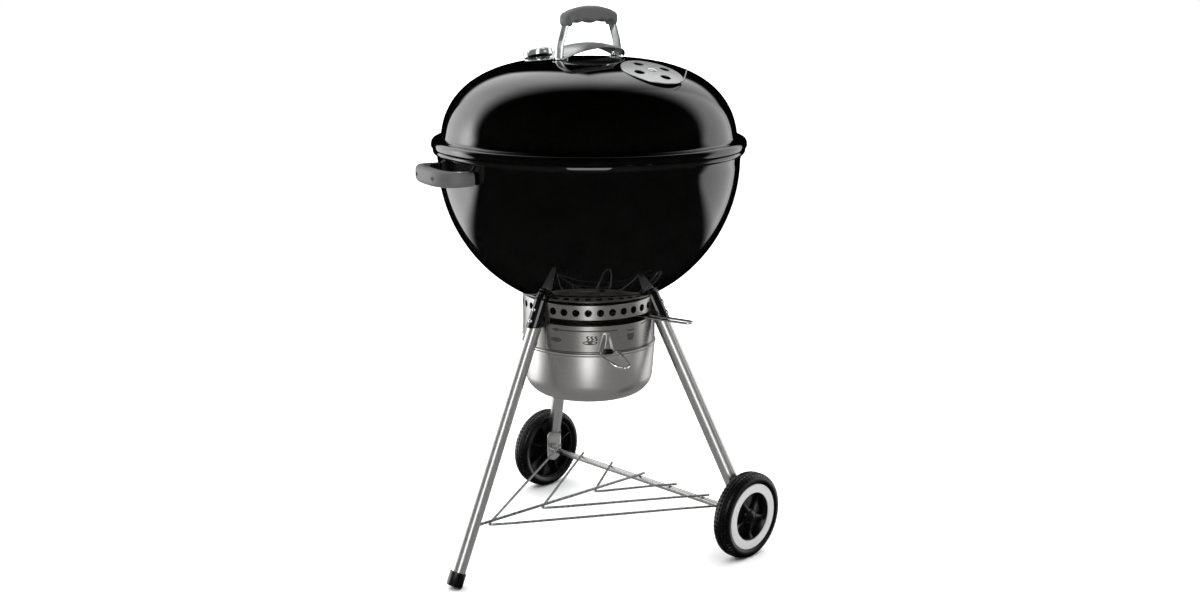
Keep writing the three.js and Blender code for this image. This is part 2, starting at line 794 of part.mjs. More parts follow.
// One bent wire: its corner sits under the spine and both ends lie on the axle.
function rackBend(halfWidth, apexFromAxle) {
  const drop = 2 * rackWireRadius + gap;
  const under = ([x, y, z]) => [x, y, z - drop];
  const apex = under(rackPoint(0, axleY - apexFromAxle));
  const length = Math.hypot(halfWidth, apexFromAxle);
  const past = 12 / length;
  const arm = (side) => {
    const near = [side * halfWidth * 0.12, axleY - apexFromAxle * 0.88];
    return [
      [side * halfWidth * (1 + past), axleY + apexFromAxle * past, rackRearHeight],
      [side * halfWidth, axleY, rackRearHeight],
      [side * halfWidth * 0.8, axleY - apexFromAxle * 0.2, rackPoint(0,
        axleY - apexFromAxle * 0.2)[2] - 0.5],
      under(rackPoint(...near)),
    ];
  };
  return wire([...arm(-1), apex, ...arm(1).reverse()], rackWireRadius, 8);
}

function acrossX(piece, side) {
  return piece.rotate([0, side * 90, 0]).translate([side * wheelInnerX, axleY, axleHeight]);
}

function tyre(side) {
  const r = wheelRadius;
  const w = wheelWidth;
  const inner = hubRadius + gap;
  const profile = [[inner, 2.5], [r - 12, 0], [r - 4, 2], [r - 0.8, 6.5], [r, 10], [r, w - 10],
    [r - 0.8, w - 6.5],
    [r - 4, w - 2], [r - 12, w], [inner, w - 1.2]];
  return acrossX(turned(profile, 32), side);
}

function hub(side) {
  const w = wheelWidth;
  const bore = axleRadius + gap;
  const profile = [
    [bore, -2], [13, -2], [15, w - 16], [trimRadii[0] - 4, w - 18], [hubRadius - 3, w - 20],
      [hubRadius - 3, 3.5],
    [hubRadius, 3.5], [hubRadius, w - 3.5], [trimRadii[0] - 1, w - 3.5], [trimRadii[0] - 4, w - 15],
    [15, w - 11], [13, w - 6], [bore, w - 6],
  ];
  const ribs = [];
  for (let i = 0; i < 8; i += 1) {
    ribs.push(block([12, -1.2, 4], [hubRadius - 2, 1.2, w - 15]).rotate([0, 0, 22.5 + i * 45]));
  }
  const spokes = [];
  for (let i = 0; i < 5; i += 1) {
    spokes.push(block([12, -3.5, w - 15], [trimRadii[0] - 2, 3.5, w - 7]).rotate([0, 0, i * 72]));
  }
  return acrossX(joined([turned(profile, 20), ...ribs, ...spokes]), side);
}

function wheelTrim(side) {
  const w = wheelWidth;
  const [inner, outer] = trimRadii;
  const profile = [[inner, w - 3.5 + gap], [outer, w - 3.5 + gap], [outer, w - 2], [inner + 2, w - 1],
    [inner, w - 1.6]];
  return acrossX(turned(profile, 26), side);
}

function hubCap(side) {
  const w = wheelWidth;
  const profile = [[0, w - 6 + gap], [11, w - 6 + gap], [11, w - 4], [8, w - 1.5], [0, w - 0.6]];
  return acrossX(turned(profile, 16), side);
}

// ---------- bowl side handles ----------

function sideHandleOutline(shrink) {
  const points = [];
  const steps = 14;
  for (let i = 0; i <= steps; i += 1) {
    const u = Math.PI * i / steps;
    const c = Math.cos(u);
    points.push([
      Math.sign(c) * (sideHandleHalfSpan - shrink) * Math.abs(c) ** 0.75,
      -(bowlRadius - 14) - (sideHandleReach + 14 - shrink) * Math.sin(u) ** 0.6,
    ]);
  }
  return points;
}

const sideHandleLow = waistHeight - sideHandleDrop - sideHandleHeight / 2;
const sideStrapThickness = 2.4;

function sideGrip(angle) {
  const outer = sideHandleOutline(0);
  const inner = sideHandleOutline(21).reverse();
  const bar = prism([...outer, ...inner], sideHandleLow, sideHandleLow + sideHandleHeight);
  return bar.rotate([0, 0, angle]).subtract(bowlEnvelope);
}

function sideStrap(angle) {
  const outer = sideHandleOutline(21 + gap);
  const inner = sideHandleOutline(21 + gap + sideStrapThickness).reverse();
  const strap = prism([...outer, ...inner], sideHandleLow + 4, sideHandleLow + sideHandleHeight + 1);
  return strap.rotate([0, 0, angle]).subtract(bowlEnvelope);
}

// ---------- grates ----------

function grate(radius, height, spacing, crossBars) {
  const ringCentre = radius - grateWireRadius;
  const section = [];
  for (let i = 0; i < 6; i += 1) {
    const angle = (30 + i * 60) * degree;
    section.push([ringCentre + grateWireRadius * Math.cos(angle),
      height + grateWireRadius * Math.sin(angle)]);
  }
  const pieces = [turned(section, 36)];
  const rodRadius = grateWireRadius * 0.8;
  const count = Math.floor((ringCentre - 8) / spacing);
  for (let i = -count; i <= count; i += 1) {
    const x = i * spacing;
    const reach = Math.sqrt(ringCentre ** 2 - x ** 2);
    pieces.push(wire([[x, -reach, height], [x, reach, height]], rodRadius, 5));
  }
  crossBars.forEach((y) => {
    const reach = Math.sqrt(ringCentre ** 2 - y ** 2);
    pieces.push(wire([[-reach, y, height], [reach, y, height]], grateWireRadius * 0.9, 5));
  });
  return joined(pieces);
}

// ---------- materials and assembly ----------

function finish(name, colour, roughness, metalness) {
  return () => Object.assign(new THREE.MeshStandardMaterial({ color: colour, roughness, metalness }),
    { name });
}

const enamel = finish('black_enamel', 0x0b0b0c, 0.12, 0.1);
const stainless = finish('brushed_stainless', 0xb9b6b0, 0.35, 1);
const aluminium = finish('brushed_aluminium', 0xc4c5c6, 0.35, 1);
const plated = finish('satin_chrome', 0xbfc1c2, 0.3, 1);
const chrome = finish('bright_chrome', 0xd8dadb, 0.08, 1);
const nylon = finish('grey_nylon', 0x5c5d5e, 0.6, 0);
const blackPlastic = finish('black_plastic', 0x151515, 0.6, 0);
const trimPlastic = finish('pale_trim', 0xc9cacb, 0.45, 0);
const ironWire = finish('plated_wire', 0xa9abad, 0.4, 1);

const body = new THREE.Group();
body.name = 'kettle_grill';

function place(name, shape, material) {
  const { vertProperties, triVerts } = shape.getMesh();
  const geometry = new THREE.BufferGeometry();
  geometry.setAttribute('position', new THREE.BufferAttribute(new Float32Array(vertProperties), 3));
  geometry.setIndex(new THREE.BufferAttribute(new Uint32Array(triVerts), 1));
  geometry.computeVertexNormals();
  const mesh = new THREE.Mesh(geometry, material());
  mesh.name = name;
  body.add(mesh);
}

place('bowl', bowl(), enamel);
place('ash_ring', ashRing(), stainless);
const legs = [['front', 0, frontLeg()], ['right', 120, rearLeg(1)], ['left', -120, rearLeg(-1)]];
legs.forEach(([side, angle, shape]) => {
  place(`leg_${side}`, shape, plated);
  place(`leg_socket_${side}`, legSocket().rotate([0, 0, angle]), enamel);
  place(`leg_screw_upper_${side}`, legScrew(angle, 20), chrome);
  place(`leg_screw_lower_${side}`, legScrew(angle, 40), chrome);
});
place('foot_cap', footCap(), blackPlastic);
place('axle', axle(), plated);
place('rack_spine', rackSpine(), ironWire);
place('rack_bend_outer', rackBend(paddleX - 17, axleY + 262), ironWire);
place('rack_bend_middle', rackBend(paddleX * 0.655, axleY + 128), ironWire);
place('rack_bend_inner', rackBend(paddleX * 0.32, axleY - 14), ironWire);
[['right', 1], ['left', -1]].forEach(([name, side]) => {
  place(`wheel_tyre_${name}`, tyre(side), blackPlastic);
  place(`wheel_hub_${name}`, hub(side), blackPlastic);
  place(`wheel_trim_${name}`, wheelTrim(side), trimPlastic);
  place(`wheel_cap_${name}`, hubCap(side), blackPlastic);
});
sideHandleAngles.forEach((angle, i) => {
  place(`bowl_grip_${i + 1}`, sideGrip(angle), nylon);
  place(`bowl_grip_strap_${i + 1}`, sideStrap(angle), plated);
});
place('cooking_grate', grate(cookGrateRadius, waistHeight - cookGrateDrop, cookGratePitch, [-130,
  130]), ironWire);
place('charcoal_grate', grate(coalGrateRadius, waistHeight - coalGrateDrop, coalGratePitch, [-90, 90]),
  ironWire);
place('sweep_lever', lever(), plated);
place('sweep_shaft', sweepShaft(), stainless);
place('sweep_blades', sweepBlades(), stainless);
place('sweep_nut', sweepNut(), stainless);
place('ash_pan', ashPan(), aluminium);
place('pan_hinge', handleHinge(), blackPlastic);
place('pan_handle', panHandle(), plated);
place('lid', lid(), enamel);
place('lid_strap', lidStrap(), chrome);
place('lid_grip', lidGrip(), nylon);
place('lid_heat_shield', heatShield(), aluminium);
place('lid_bolt_near', lidBolt(-1), chrome);
place('lid_bolt_far', lidBolt(1), chrome);
place('gauge_case', gaugeCase(), chrome);
place('gauge_dial', gaugeDial(), trimPlastic);
place('gauge_needle', gaugeNeedle(), blackPlastic);
place('lid_damper', lidDamper(), aluminium);
place('damper_rivet', damperRivet(), chrome);

const box = new THREE.Box3().setFromObject(body);
const centre = box.getCenter(new THREE.Vector3());
const part = new THREE.Group();
part.name = 'kettle_charcoal_grill';
body.position.set(-centre.x, -centre.y, -box.min.z);
part.add(body);
part.updateMatrixWorld(true);

export default part;
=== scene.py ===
"""Looks of a kettle charcoal grill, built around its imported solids. Metres, +Z up, front leg towards -Y."""
import json
import math

import bmesh
import bpy
import numpy as np
from mathutils import Matrix, Vector

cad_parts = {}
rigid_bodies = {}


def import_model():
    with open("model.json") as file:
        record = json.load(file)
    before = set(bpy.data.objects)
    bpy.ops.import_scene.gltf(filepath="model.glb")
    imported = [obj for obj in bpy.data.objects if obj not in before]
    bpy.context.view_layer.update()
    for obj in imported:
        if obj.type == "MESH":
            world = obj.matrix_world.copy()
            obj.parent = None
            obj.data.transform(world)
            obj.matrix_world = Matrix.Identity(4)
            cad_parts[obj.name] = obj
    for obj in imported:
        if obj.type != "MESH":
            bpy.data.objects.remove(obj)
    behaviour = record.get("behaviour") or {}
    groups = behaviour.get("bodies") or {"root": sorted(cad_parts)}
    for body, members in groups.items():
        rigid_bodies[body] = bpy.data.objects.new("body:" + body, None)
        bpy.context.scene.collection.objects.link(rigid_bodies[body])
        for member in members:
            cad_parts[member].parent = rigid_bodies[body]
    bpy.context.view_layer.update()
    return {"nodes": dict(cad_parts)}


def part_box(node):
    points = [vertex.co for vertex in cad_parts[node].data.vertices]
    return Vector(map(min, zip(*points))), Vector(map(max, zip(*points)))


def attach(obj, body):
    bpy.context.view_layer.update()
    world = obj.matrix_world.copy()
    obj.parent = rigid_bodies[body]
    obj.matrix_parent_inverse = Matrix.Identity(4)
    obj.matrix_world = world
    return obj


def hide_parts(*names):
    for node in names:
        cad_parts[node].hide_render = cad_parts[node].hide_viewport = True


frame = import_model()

MM = 0.001
FULL_TURN = 2 * np.pi


# ---------- sizes read from the solids ----------

def edges(node):
    """Lowest and highest corner of a solid, as arrays."""
    low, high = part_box(node)
    return np.array(low), np.array(high)


bowl_low, bowl_high = edges("bowl")
AXIS_Y = (bowl_low[1] + bowl_high[1]) / 2
RIM_RADIUS = (bowl_high[1] - bowl_low[1]) / 2
BEAD = 5.8 * MM
RIM_FLARE = 3.2 * MM
NECK_HEIGHT = 20 * MM
BOWL_RADIUS = RIM_RADIUS - BEAD - RIM_FLARE
BEAD_HEIGHT = bowl_high[2] - BEAD
WAIST = BEAD_HEIGHT - 22.5 * MM
BOWL_DEPTH = WAIST - bowl_low[2]
BOWL_POWERS = (2.11, 1.93)
lid_low, lid_high = edges("lid")
LIP = lid_low[2]
FLANGE_RADIUS = (lid_high[1] - lid_low[1]) / 2
LID_RADIUS = FLANGE_RADIUS - 17.6 * MM
LID_BASE = LIP - 2.6 * MM
LID_HEIGHT = lid_high[2] - LID_BASE
LID_POWERS = (2.87, 2.31)
SHEET = 1.6 * MM
ring_low, ring_high = edges("ash_ring")
RING_TOP, RING_BOTTOM = ring_high[2], ring_low[2]
RING_RADIUS = 125.6 * MM
WALL_RADIUS = RING_RADIUS - 2 * MM
LEG_RADIUS = 12.7 * MM
SPLAY = math.radians(24.5)
axle_low, axle_high = edges("axle")
AXLE_Y, AXLE_Z = (axle_low[1] + axle_high[1]) / 2, (axle_low[2] + axle_high[2]) / 2
AXLE_RADIUS = (axle_high[2] - axle_low[2]) / 2
HUB_TO_PADDLE_MIDDLE = 4 * MM
PADDLE_X = edges("wheel_hub_right")[0][0] - HUB_TO_PADDLE_MIDDLE
WHEEL_INNER = edges("wheel_tyre_right")[0][0]
WHEEL_WIDTH = edges("wheel_tyre_right")[1][0] - WHEEL_INNER
TREAD_BLOCKS = 60
GROOVE_DEPTH, RIB_DEPTH = 2.0, 1.8
DAMPER_ANGLE, DAMPER_AT = 88.5, 161 * MM
DAMPER_HOLE_TURN, DAMPER_HOLE_AT = 3, 33 * MM
GAUGE_ANGLE, GAUGE_AT = -92, 140 * MM
STRAP_SPAN = 75 * MM
AIR_HOLES, AIR_HOLE_PITCH, AIR_HOLE_RADIUS = 10, 10.35, 6.8


def around(angle, radius, height):
    """A point at an angle in degrees from the front leg, a radius and a height about the bowl's axis."""
    a = np.radians(angle)
    return np.stack(np.broadcast_arrays(radius * np.sin(a), AXIS_Y - radius * np.cos(a), height), axis=-1)


def leg_radius_at(height):
    """The leg's centre line: its radius falls evenly as the height grows."""
    return RING_RADIUS + 25.9 * MM + math.tan(SPLAY) * (RING_TOP - 70.3 * MM - height)


def lid_height_at(radius):
    """Height of the lid's dome, a superellipse of the radius."""
    across, up = LID_POWERS
    return LID_BASE + LID_HEIGHT * (1 - (radius / LID_RADIUS) ** across) ** (1 / up)


def bowl_radius_at(height):
    """Radius of the bowl's outside, a superellipse of the depth below its widest level."""
    down = np.clip((WAIST - height) / BOWL_DEPTH, 0, 1)
    return BOWL_RADIUS * (1 - down ** BOWL_POWERS[1]) ** (1 / BOWL_POWERS[0])


# ---------- materials ----------

def linear(colour):
    """sRGB hex to linear red, green, blue, alpha."""
    parts = [int(colour[i:i + 2], 16) / 255 for i in (1, 3, 5)]
    return [p / 12.92 if p <= 0.04045 else ((p + 0.055) / 1.055) ** 2.4 for p in parts] + [1.0]


def add(tree, kind, settings=None, **inputs):
    """Adds a node, sets its properties, and fills inputs with values or links from (node, output) pairs."""
    node = tree.nodes.new(kind)
    for key, value in (settings or {}).items():
        setattr(node, key, value)
    for key, value in inputs.items():
        socket = node.inputs[int(key[1:])] if key[1:].isdigit() else node.inputs[key.replace("_", " ")]
        if isinstance(value, tuple) and isinstance(value[0], bpy.types.Node):
            tree.links.new(value[0].outputs[value[1]], socket)
        else:
            socket.default_value = value
    return node


def surface_material(name, base, roughness, metallic=0.0, ior=1.5, coat=0.0, pattern=(1, 1, 1), period=3.0,
                     tone=0.06, rough_tone=0.08, bump=0.1, bump_period=None, bump_depth=0.02):
    """A finish whose colour, roughness and relief vary by two noises.

    pattern stretches the noise along each axis; period and bump_period are in millimetres.
    """
    made = bpy.data.materials.new(name)
    made.use_nodes = True
    tree = made.node_tree
    tree.nodes.clear()
    place = add(tree, "ShaderNodeTexCoord")
    wide = add(tree, "ShaderNodeMapping", Vector=(place, "Object"),
               Scale=[p * 1000 / period for p in pattern])
    cloud = add(tree, "ShaderNodeTexNoise", Vector=(wide, "Vector"), Scale=1.0, Detail=4.0, Roughness=0.6)
    dark = [c * (1 - tone) for c in linear(base)[:3]] + [1]
    light = [min(1, c * (1 + tone)) for c in linear(base)[:3]] + [1]
    ramp = add(tree, "ShaderNodeMapRange", {"data_type": "FLOAT"}, Value=(cloud, "Fac"),
               From_Min=0.3, From_Max=0.7)
    colour = add(tree, "ShaderNodeMix", {"data_type": "RGBA"}, i0=(ramp, "Result"), i6=dark, i7=light)
    rough = add(tree, "ShaderNodeMapRange", Value=(cloud, "Fac"), From_Min=0.3, From_Max=0.7,
                To_Min=max(0.02, roughness - rough_tone), To_Max=roughness + rough_tone)
    fine = add(tree, "ShaderNodeMapping", Vector=(place, "Object"),
               Scale=[p * 1000 / (bump_period or period) for p in pattern])
    grain = add(tree, "ShaderNodeTexNoise", Vector=(fine, "Vector"), Scale=1.0, Detail=2.0)
    relief = add(tree, "ShaderNodeBump", Height=(grain, "Fac"), Strength=bump, Distance=bump_depth * MM)
    shader = add(tree, "ShaderNodeBsdfPrincipled", Base_Color=(colour, 2), Roughness=(rough, "Result"),
                 Normal=(relief, "Normal"), Metallic=metallic, IOR=ior, Coat_Weight=coat, Coat_Roughness=0.05)
    add(tree, "ShaderNodeOutputMaterial", Surface=(shader, "BSDF"))
    return made


# Porcelain enamel, fired glass on steel: deep black, mirror gloss, with a faint orange peel
# a few millimetres wide.
enamel = surface_material("black_porcelain_enamel", "#0a0a0a", 0.03, ior=1.5, period=40, tone=0.2,
                          rough_tone=0.012, bump=0.12, bump_period=14, bump_depth=0.05)
# Brushed stainless sheet: fine lines around the ring stretch the highlights up and down.
stainless = surface_material("brushed_stainless_sheet", "#8f8d8a", 0.30, metallic=1.0,
                             pattern=(0.03, 0.03, 1.6),
                             period=1.6, tone=0.05, rough_tone=0.05, bump=0.12, bump_period=0.9,
                             bump_depth=0.02)
# Spun aluminium: turned on a lathe, so its lines run round the pan.
spun_aluminium = surface_material("spun_aluminium", "#a9a8a6", 0.36, metallic=1.0, pattern=(0.02, 0.02, 1.0),
                                  period=2.2, tone=0.04, rough_tone=0.04, bump=0.10, bump_period=1.4,
                                  bump_depth=0.02)
# Satin nickel-chrome plate on tube: soft mirror, slight cloudiness.
plated_tube = surface_material("satin_plated_tube", "#b4b4b3", 0.28, metallic=1.0, pattern=(1, 1, 0.12),
                               period=5,
                               tone=0.05, rough_tone=0.05, bump=0.12, bump_period=1.2, bump_depth=0.02)
# Plated steel wire: drawn, a little duller than the tube.
plated_wire = surface_material("plated_steel_wire", "#8a8b8c", 0.28, metallic=1.0, period=6, tone=0.08,
                               rough_tone=0.06, bump=0.15, bump_period=1.5, bump_depth=0.03)
# Bright chrome plate: near mirror.
chrome = surface_material("bright_chrome_plate", "#c2c3c4", 0.1, metallic=1.0, period=12, tone=0.03,
                          rough_tone=0.03, bump=0.05, bump_period=3, bump_depth=0.02)
# Rolled aluminium sheet with a satin grain along its length.
satin_sheet = surface_material("satin_aluminium_sheet", "#9c9d9d", 0.33, metallic=1.0, pattern=(1, 0.08, 1),
                               period=2.0, tone=0.07, rough_tone=0.08, bump=0.2, bump_period=1.0,
                               bump_depth=0.03)
# Glass-filled nylon, moulded: mid grey with a fine matt texture.
nylon = surface_material("glass_filled_nylon", "#4b4b4c", 0.5, period=1.4, tone=0.10, rough_tone=0.08,
                         bump=0.35, bump_period=0.7, bump_depth=0.06)
# Moulded black polypropylene: matt with a faint sheen.
black_plastic = surface_material("moulded_black_polypropylene", "#0b0b0b", 0.38, period=2.5, tone=0.2,
                                 rough_tone=0.1, bump=0.3, bump_period=0.8, bump_depth=0.05)
# Pale satin plastic of the wheel rings and the dial.
pale_plastic = surface_material("pale_satin_plastic", "#bdbdbd", 0.45, period=3, tone=0.04, rough_tone=0.06,
                                bump=0.2, bump_period=0.9, bump_depth=0.03)
# Black ink printed on steel.
ink = surface_material("black_screen_ink", "#2b2a29", 0.5, period=1.5, tone=0.15, rough_tone=0.08, bump=0.2,
                       bump_period=0.6, bump_depth=0.01)


# ---------- meshes ----------

def grid_faces(rows, columns, wrap_rows=False, wrap_columns=False):
    """Quads of a grid of points, with its ends joined where it wraps."""
    r = np.arange(rows if wrap_rows else rows - 1)
    c = np.arange(columns if wrap_columns else columns - 1)
    a, b = np.meshgrid(r, c, indexing="ij")
    a2, b2 = (a + 1) % rows, (b + 1) % columns
    quads = np.stack([a * columns + b, a * columns + b2, a2 * columns + b2, a2 * columns + b], axis=-1)
    return quads.reshape(-1, 4)


class Parts:
    """Collects grids of points into one mesh."""

    def __init__(self):
        self.points, self.faces, self.count = [], [], 0

    def grid(self, points, wrap_rows=False, wrap_columns=False, keep=None):
        rows, columns = points.shape[:2]
        faces = grid_faces(rows, columns, wrap_rows, wrap_columns)
        if keep is not None:
            faces = faces[keep.reshape(-1)]
        self.points.append(points.reshape(-1, 3))
        self.faces.append(faces + self.count)
        self.count += rows * columns
        return self

    def mesh(self, name, flat_angle=40):
        made = bpy.data.meshes.new(name)
        made.from_pydata(np.concatenate(self.points).tolist(), [], np.concatenate(self.faces).tolist())
        work = bmesh.new()
        work.from_mesh(made)
        bmesh.ops.remove_doubles(work, verts=work.verts, dist=2e-6)
        bmesh.ops.dissolve_degenerate(work, edges=work.edges, dist=1e-7)
        bmesh.ops.recalc_face_normals(work, faces=work.faces)
        work.to_mesh(made)
        work.free()
        made.polygons.foreach_set("use_smooth", np.ones(len(made.polygons), bool))
        made.set_sharp_from_angle(angle=math.radians(flat_angle))
        return made


def show(name, parts, finish, body, nodes=(), flat_angle=40):
    """Makes a finished piece that rides on a body and stands for its solids."""
    mesh = parts if isinstance(parts, bpy.types.Mesh) else parts.mesh(name, flat_angle)
    piece = bpy.data.objects.new(name, mesh)
    bpy.context.scene.collection.objects.link(piece)
    mesh.materials.clear()
    mesh.materials.append(finish)
    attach(piece, body)
    if nodes:
        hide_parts(*nodes)
    return piece


def thicken(piece, thickness, offset=-1.0):
    """Gives a single sheet its wall."""
    wall = piece.modifiers.new("wall", "SOLIDIFY")
    wall.thickness = thickness
    wall.offset = offset
    wall.use_even_offset = True
    return piece


def turned(parts, profile, turns=96, matrix=None, spin=(0, 360), closed=True):
    """Revolves a profile of (radius, height) rows about the local Z axis."""
    profile = np.asarray(profile, float)
    angle = np.radians(np.linspace(spin[0], spin[1], turns, endpoint=spin[1] - spin[0] < 360))
    r, z = profile[:, :1], profile[:, 1:]
    points = np.stack([r * np.sin(angle), -r * np.cos(angle), z + 0 * angle], axis=-1)
    return parts.grid(moved(points, matrix), wrap_rows=closed, wrap_columns=spin[1] - spin[0] >= 360)


def moved(points, matrix):
    """Applies a 4 by 4 matrix to an array of points."""
    if matrix is None:
        return points + np.array([0, AXIS_Y, 0])
    m = np.array(matrix)
    return points @ m[:3, :3].T + m[:3, 3]


def rounded_path(corners, reach, steps=6):
    """Corners of a path replaced by quadratic curves that start a reach away from each."""
    corners = np.asarray(corners, float)
    t = np.linspace(0, 1, steps)[:, None]
    runs = [corners[:1]]
    for before, corner, after in zip(corners[:-2], corners[1:-1], corners[2:]):
        into, out = before - corner, after - corner
        into *= min(reach, np.linalg.norm(into) / 2.01) / np.linalg.norm(into)
        out *= min(reach, np.linalg.norm(out) / 2.01) / np.linalg.norm(out)
        runs.append((1 - t) ** 2 * (corner + into) + 2 * t * (1 - t) * corner + t ** 2 * (corner + out))
    runs.append(corners[-1:])
    return np.concatenate(runs)


def swept(parts, path, section, up, ends=True):
    """Carries a closed section of (side, up) pairs along a path that lies square to one up direction."""
    path = np.asarray(path, float)
    section = np.asarray(section, float)
    tangent = np.gradient(path, axis=0)
    step = np.diff(path, axis=0)
    step /= np.linalg.norm(step, axis=1, keepdims=True)
    tangent[1:-1] = step[1:] + step[:-1]
    tangent[0], tangent[-1] = step[0], step[-1]
    tangent /= np.linalg.norm(tangent, axis=1, keepdims=True)
    up = np.broadcast_to(np.asarray(up, float), path.shape)
    side = np.cross(tangent, up)
    side /= np.linalg.norm(side, axis=1, keepdims=True)
    lift = np.cross(side, tangent)
    if section.ndim == 2:
        section = np.broadcast_to(section, (len(path),) + section.shape)
    points = path[:, None] + section[..., :1] * side[:, None] + section[..., 1:] * lift[:, None]
    if ends:
        points = np.concatenate([points[:1].mean(1, keepdims=True) + 0 * points[:1], points,
                                 points[-1:].mean(1, keepdims=True) + 0 * points[-1:]])
    return parts.grid(points, wrap_columns=True)


def circle(radius, count=16):
    """A circle as (side, up) pairs."""
    a = np.arange(count) * FULL_TURN / count
    return radius * np.stack([np.cos(a), np.sin(a)], axis=-1)


def squircle(half_width, half_height, power=5, count=32):
    """A rounded rectangle: a superellipse of the given power."""
    a = np.arange(count) * FULL_TURN / count
    c, s = np.cos(a), np.sin(a)
    reach = (np.abs(c) ** power + np.abs(s) ** power) ** (-1 / power)
    return np.stack([half_width * c * reach, half_height * s * reach], axis=-1)


def bar(parts, low, high, matrix=None, power=8):
    """A bar with rounded edges: a squircle section between two faces."""
    low, high = np.asarray(low, float), np.asarray(high, float)
    centre, half = (low + high) / 2, (high - low) / 2
    path = np.array([0, 0.04, 0.96, 1.0])[:, None] * np.array([0, 0, 2 * half[2]])
    path = path + [centre[0], centre[1], low[2]]
    scale = np.array([0.95, 1, 1, 0.95])[:, None, None]
    section = scale * squircle(half[0], half[1], power)
    parts_here = Parts()
    swept(parts_here, path, section, (0, 1, 0))
    points = moved(parts_here.points[0], matrix if matrix is not None else Matrix.Identity(4))
    rows = len(path) + 2
    return parts.grid(points.reshape(rows, -1, 3), wrap_columns=True)


def cut(piece, tool_parts):
    """Cuts the tool's closed bodies out of a piece's mesh."""
    tool = bpy.data.objects.new("tool", tool_parts.mesh("tool"))
    bpy.context.scene.collection.objects.link(tool)
    step = piece.modifiers.new("cut", "BOOLEAN")
    step.operation = "DIFFERENCE"
    step.solver = "EXACT"
    step.object = tool
    bpy.context.view_layer.update()
    view = bpy.context.evaluated_depsgraph_get()
    result = bpy.data.meshes.new_from_object(piece.evaluated_get(view))
    piece.modifiers.clear()
    bpy.data.objects.remove(tool)
    finish = piece.data.materials[0]
    piece.data = result
    result.materials.clear()
    result.materials.append(finish)
    result.polygons.foreach_set("material_index", np.zeros(len(result.polygons), np.int32))
    result.polygons.foreach_set("use_smooth", np.ones(len(result.polygons), bool))
    result.set_sharp_from_angle(angle=math.radians(35))
    return piece


def with_ends(rows):
    """Rows of a tube with each open end gathered into its middle point."""
    ends = [np.broadcast_to(row.mean(0), row.shape)[None] for row in (rows[0], rows[-1])]
    return np.concatenate([ends[0], rows, ends[1]])


def upright(x, y, z, tilt=0.0, turn=0.0):
    """A frame at a point, tilted about X and then turned about Z, both in degrees."""
    return Matrix.Translation((x, y, z)) @ Matrix.Rotation(math.radians(turn), 4, "Z") @ \
        Matrix.Rotation(math.radians(tilt), 4, "X")


def turned_about_bowl(angle):
    """Turns a piece drawn at the front leg to another angle about the bowl's axis."""
    shift = Matrix.Translation((0, AXIS_Y, 0))
    return shift @ Matrix.Rotation(math.radians(angle), 4, "Z") @ shift.inverted()


def lid_frame(angle, radius):
    """A frame on the lid with its Z along the dome's normal."""
    rise = lid_height_at(radius - MM) - lid_height_at(radius + MM)
    tilt = math.atan2(rise, 2 * MM)
    local = Matrix.Translation((0, -radius, lid_height_at(radius))) @ Matrix.Rotation(tilt, 4, "X")
    return Matrix.Translation((0, AXIS_Y, 0)) @ Matrix.Rotation(math.radians(angle), 4, "Z") @ local


# ---------- bowl and lid ----------

def bowl_line(count=70, from_radius=6.5 * MM, grow=0.0):
    """Bowl outside from the shaft hole to the waist: both coordinates are powers of a cosine and a sine."""
    start = np.arccos((from_radius / (BOWL_RADIUS + grow)) ** (BOWL_POWERS[0] / 2))
    u = np.linspace(start, 0, count)
    return np.stack([(BOWL_RADIUS + grow) * np.cos(u) ** (2 / BOWL_POWERS[0]),
                     WAIST - (BOWL_DEPTH + grow) * np.sin(u) ** (2 / BOWL_POWERS[1])], axis=-1)


def make_bowl():
    """One sheet: the bowl's curve, a neck flaring as it rises and a rolled rim; the vents stay open."""
    rise = np.linspace(0, 1, 9)[1:]
    neck = np.stack([BOWL_RADIUS + RIM_FLARE * rise ** 1.5, WAIST + NECK_HEIGHT * rise], axis=-1)
    line = np.concatenate([bowl_line(), neck])
    turns = 240
    parts = Parts()
    radius = (line[1:, 0] + line[:-1, 0]) / 2
    angle = (np.arange(turns) + 0.5) * 360 / turns
    in_band = (radius > 46 * MM) & (radius < 104 * MM) & (np.arange(len(radius)) < 69)
    in_arc = np.abs((angle - 60 + 60) % 120 - 60) < 14
    keep = ~(in_band[:, None] & in_arc[None])
    spin = np.radians(np.arange(turns) * 360 / turns)
    points = np.stack([line[:, :1] * np.sin(spin), -line[:, :1] * np.cos(spin), line[:, 1:] + 0 * spin],
                      axis=-1)
    parts.grid(moved(points, None), wrap_columns=True, keep=keep)
    bowl = show("bowl_shell", parts, enamel, "stand", ["bowl"], 60)
    thicken(bowl, SHEET)
    a = np.arange(36) * FULL_TURN / 36
    roll = np.stack([BOWL_RADIUS + RIM_FLARE + BEAD * np.cos(a), BEAD_HEIGHT + BEAD * np.sin(a)], axis=-1)
    show("bowl_rim_bead", turned(Parts(), roll, 240), enamel, "stand", flat_angle=80)
    tabs = Parts()
    for grate in ("cooking_grate", "charcoal_grate"):
        low, high = edges(grate)
        top = low[2] - 0.4 * MM
        outer = bowl_radius_at(top - 2 * MM) - SHEET / 2
        reach = (high[1] - low[1]) / 2 - 8 * MM
        for i in range(4):
            matrix = turned_about_bowl(45 + i * 90)
            bar(tabs, [-11 * MM, AXIS_Y - outer, top - 3 * MM], [11 * MM, AXIS_Y - reach, top], matrix)
    show("grate_tabs", tabs, enamel, "stand")


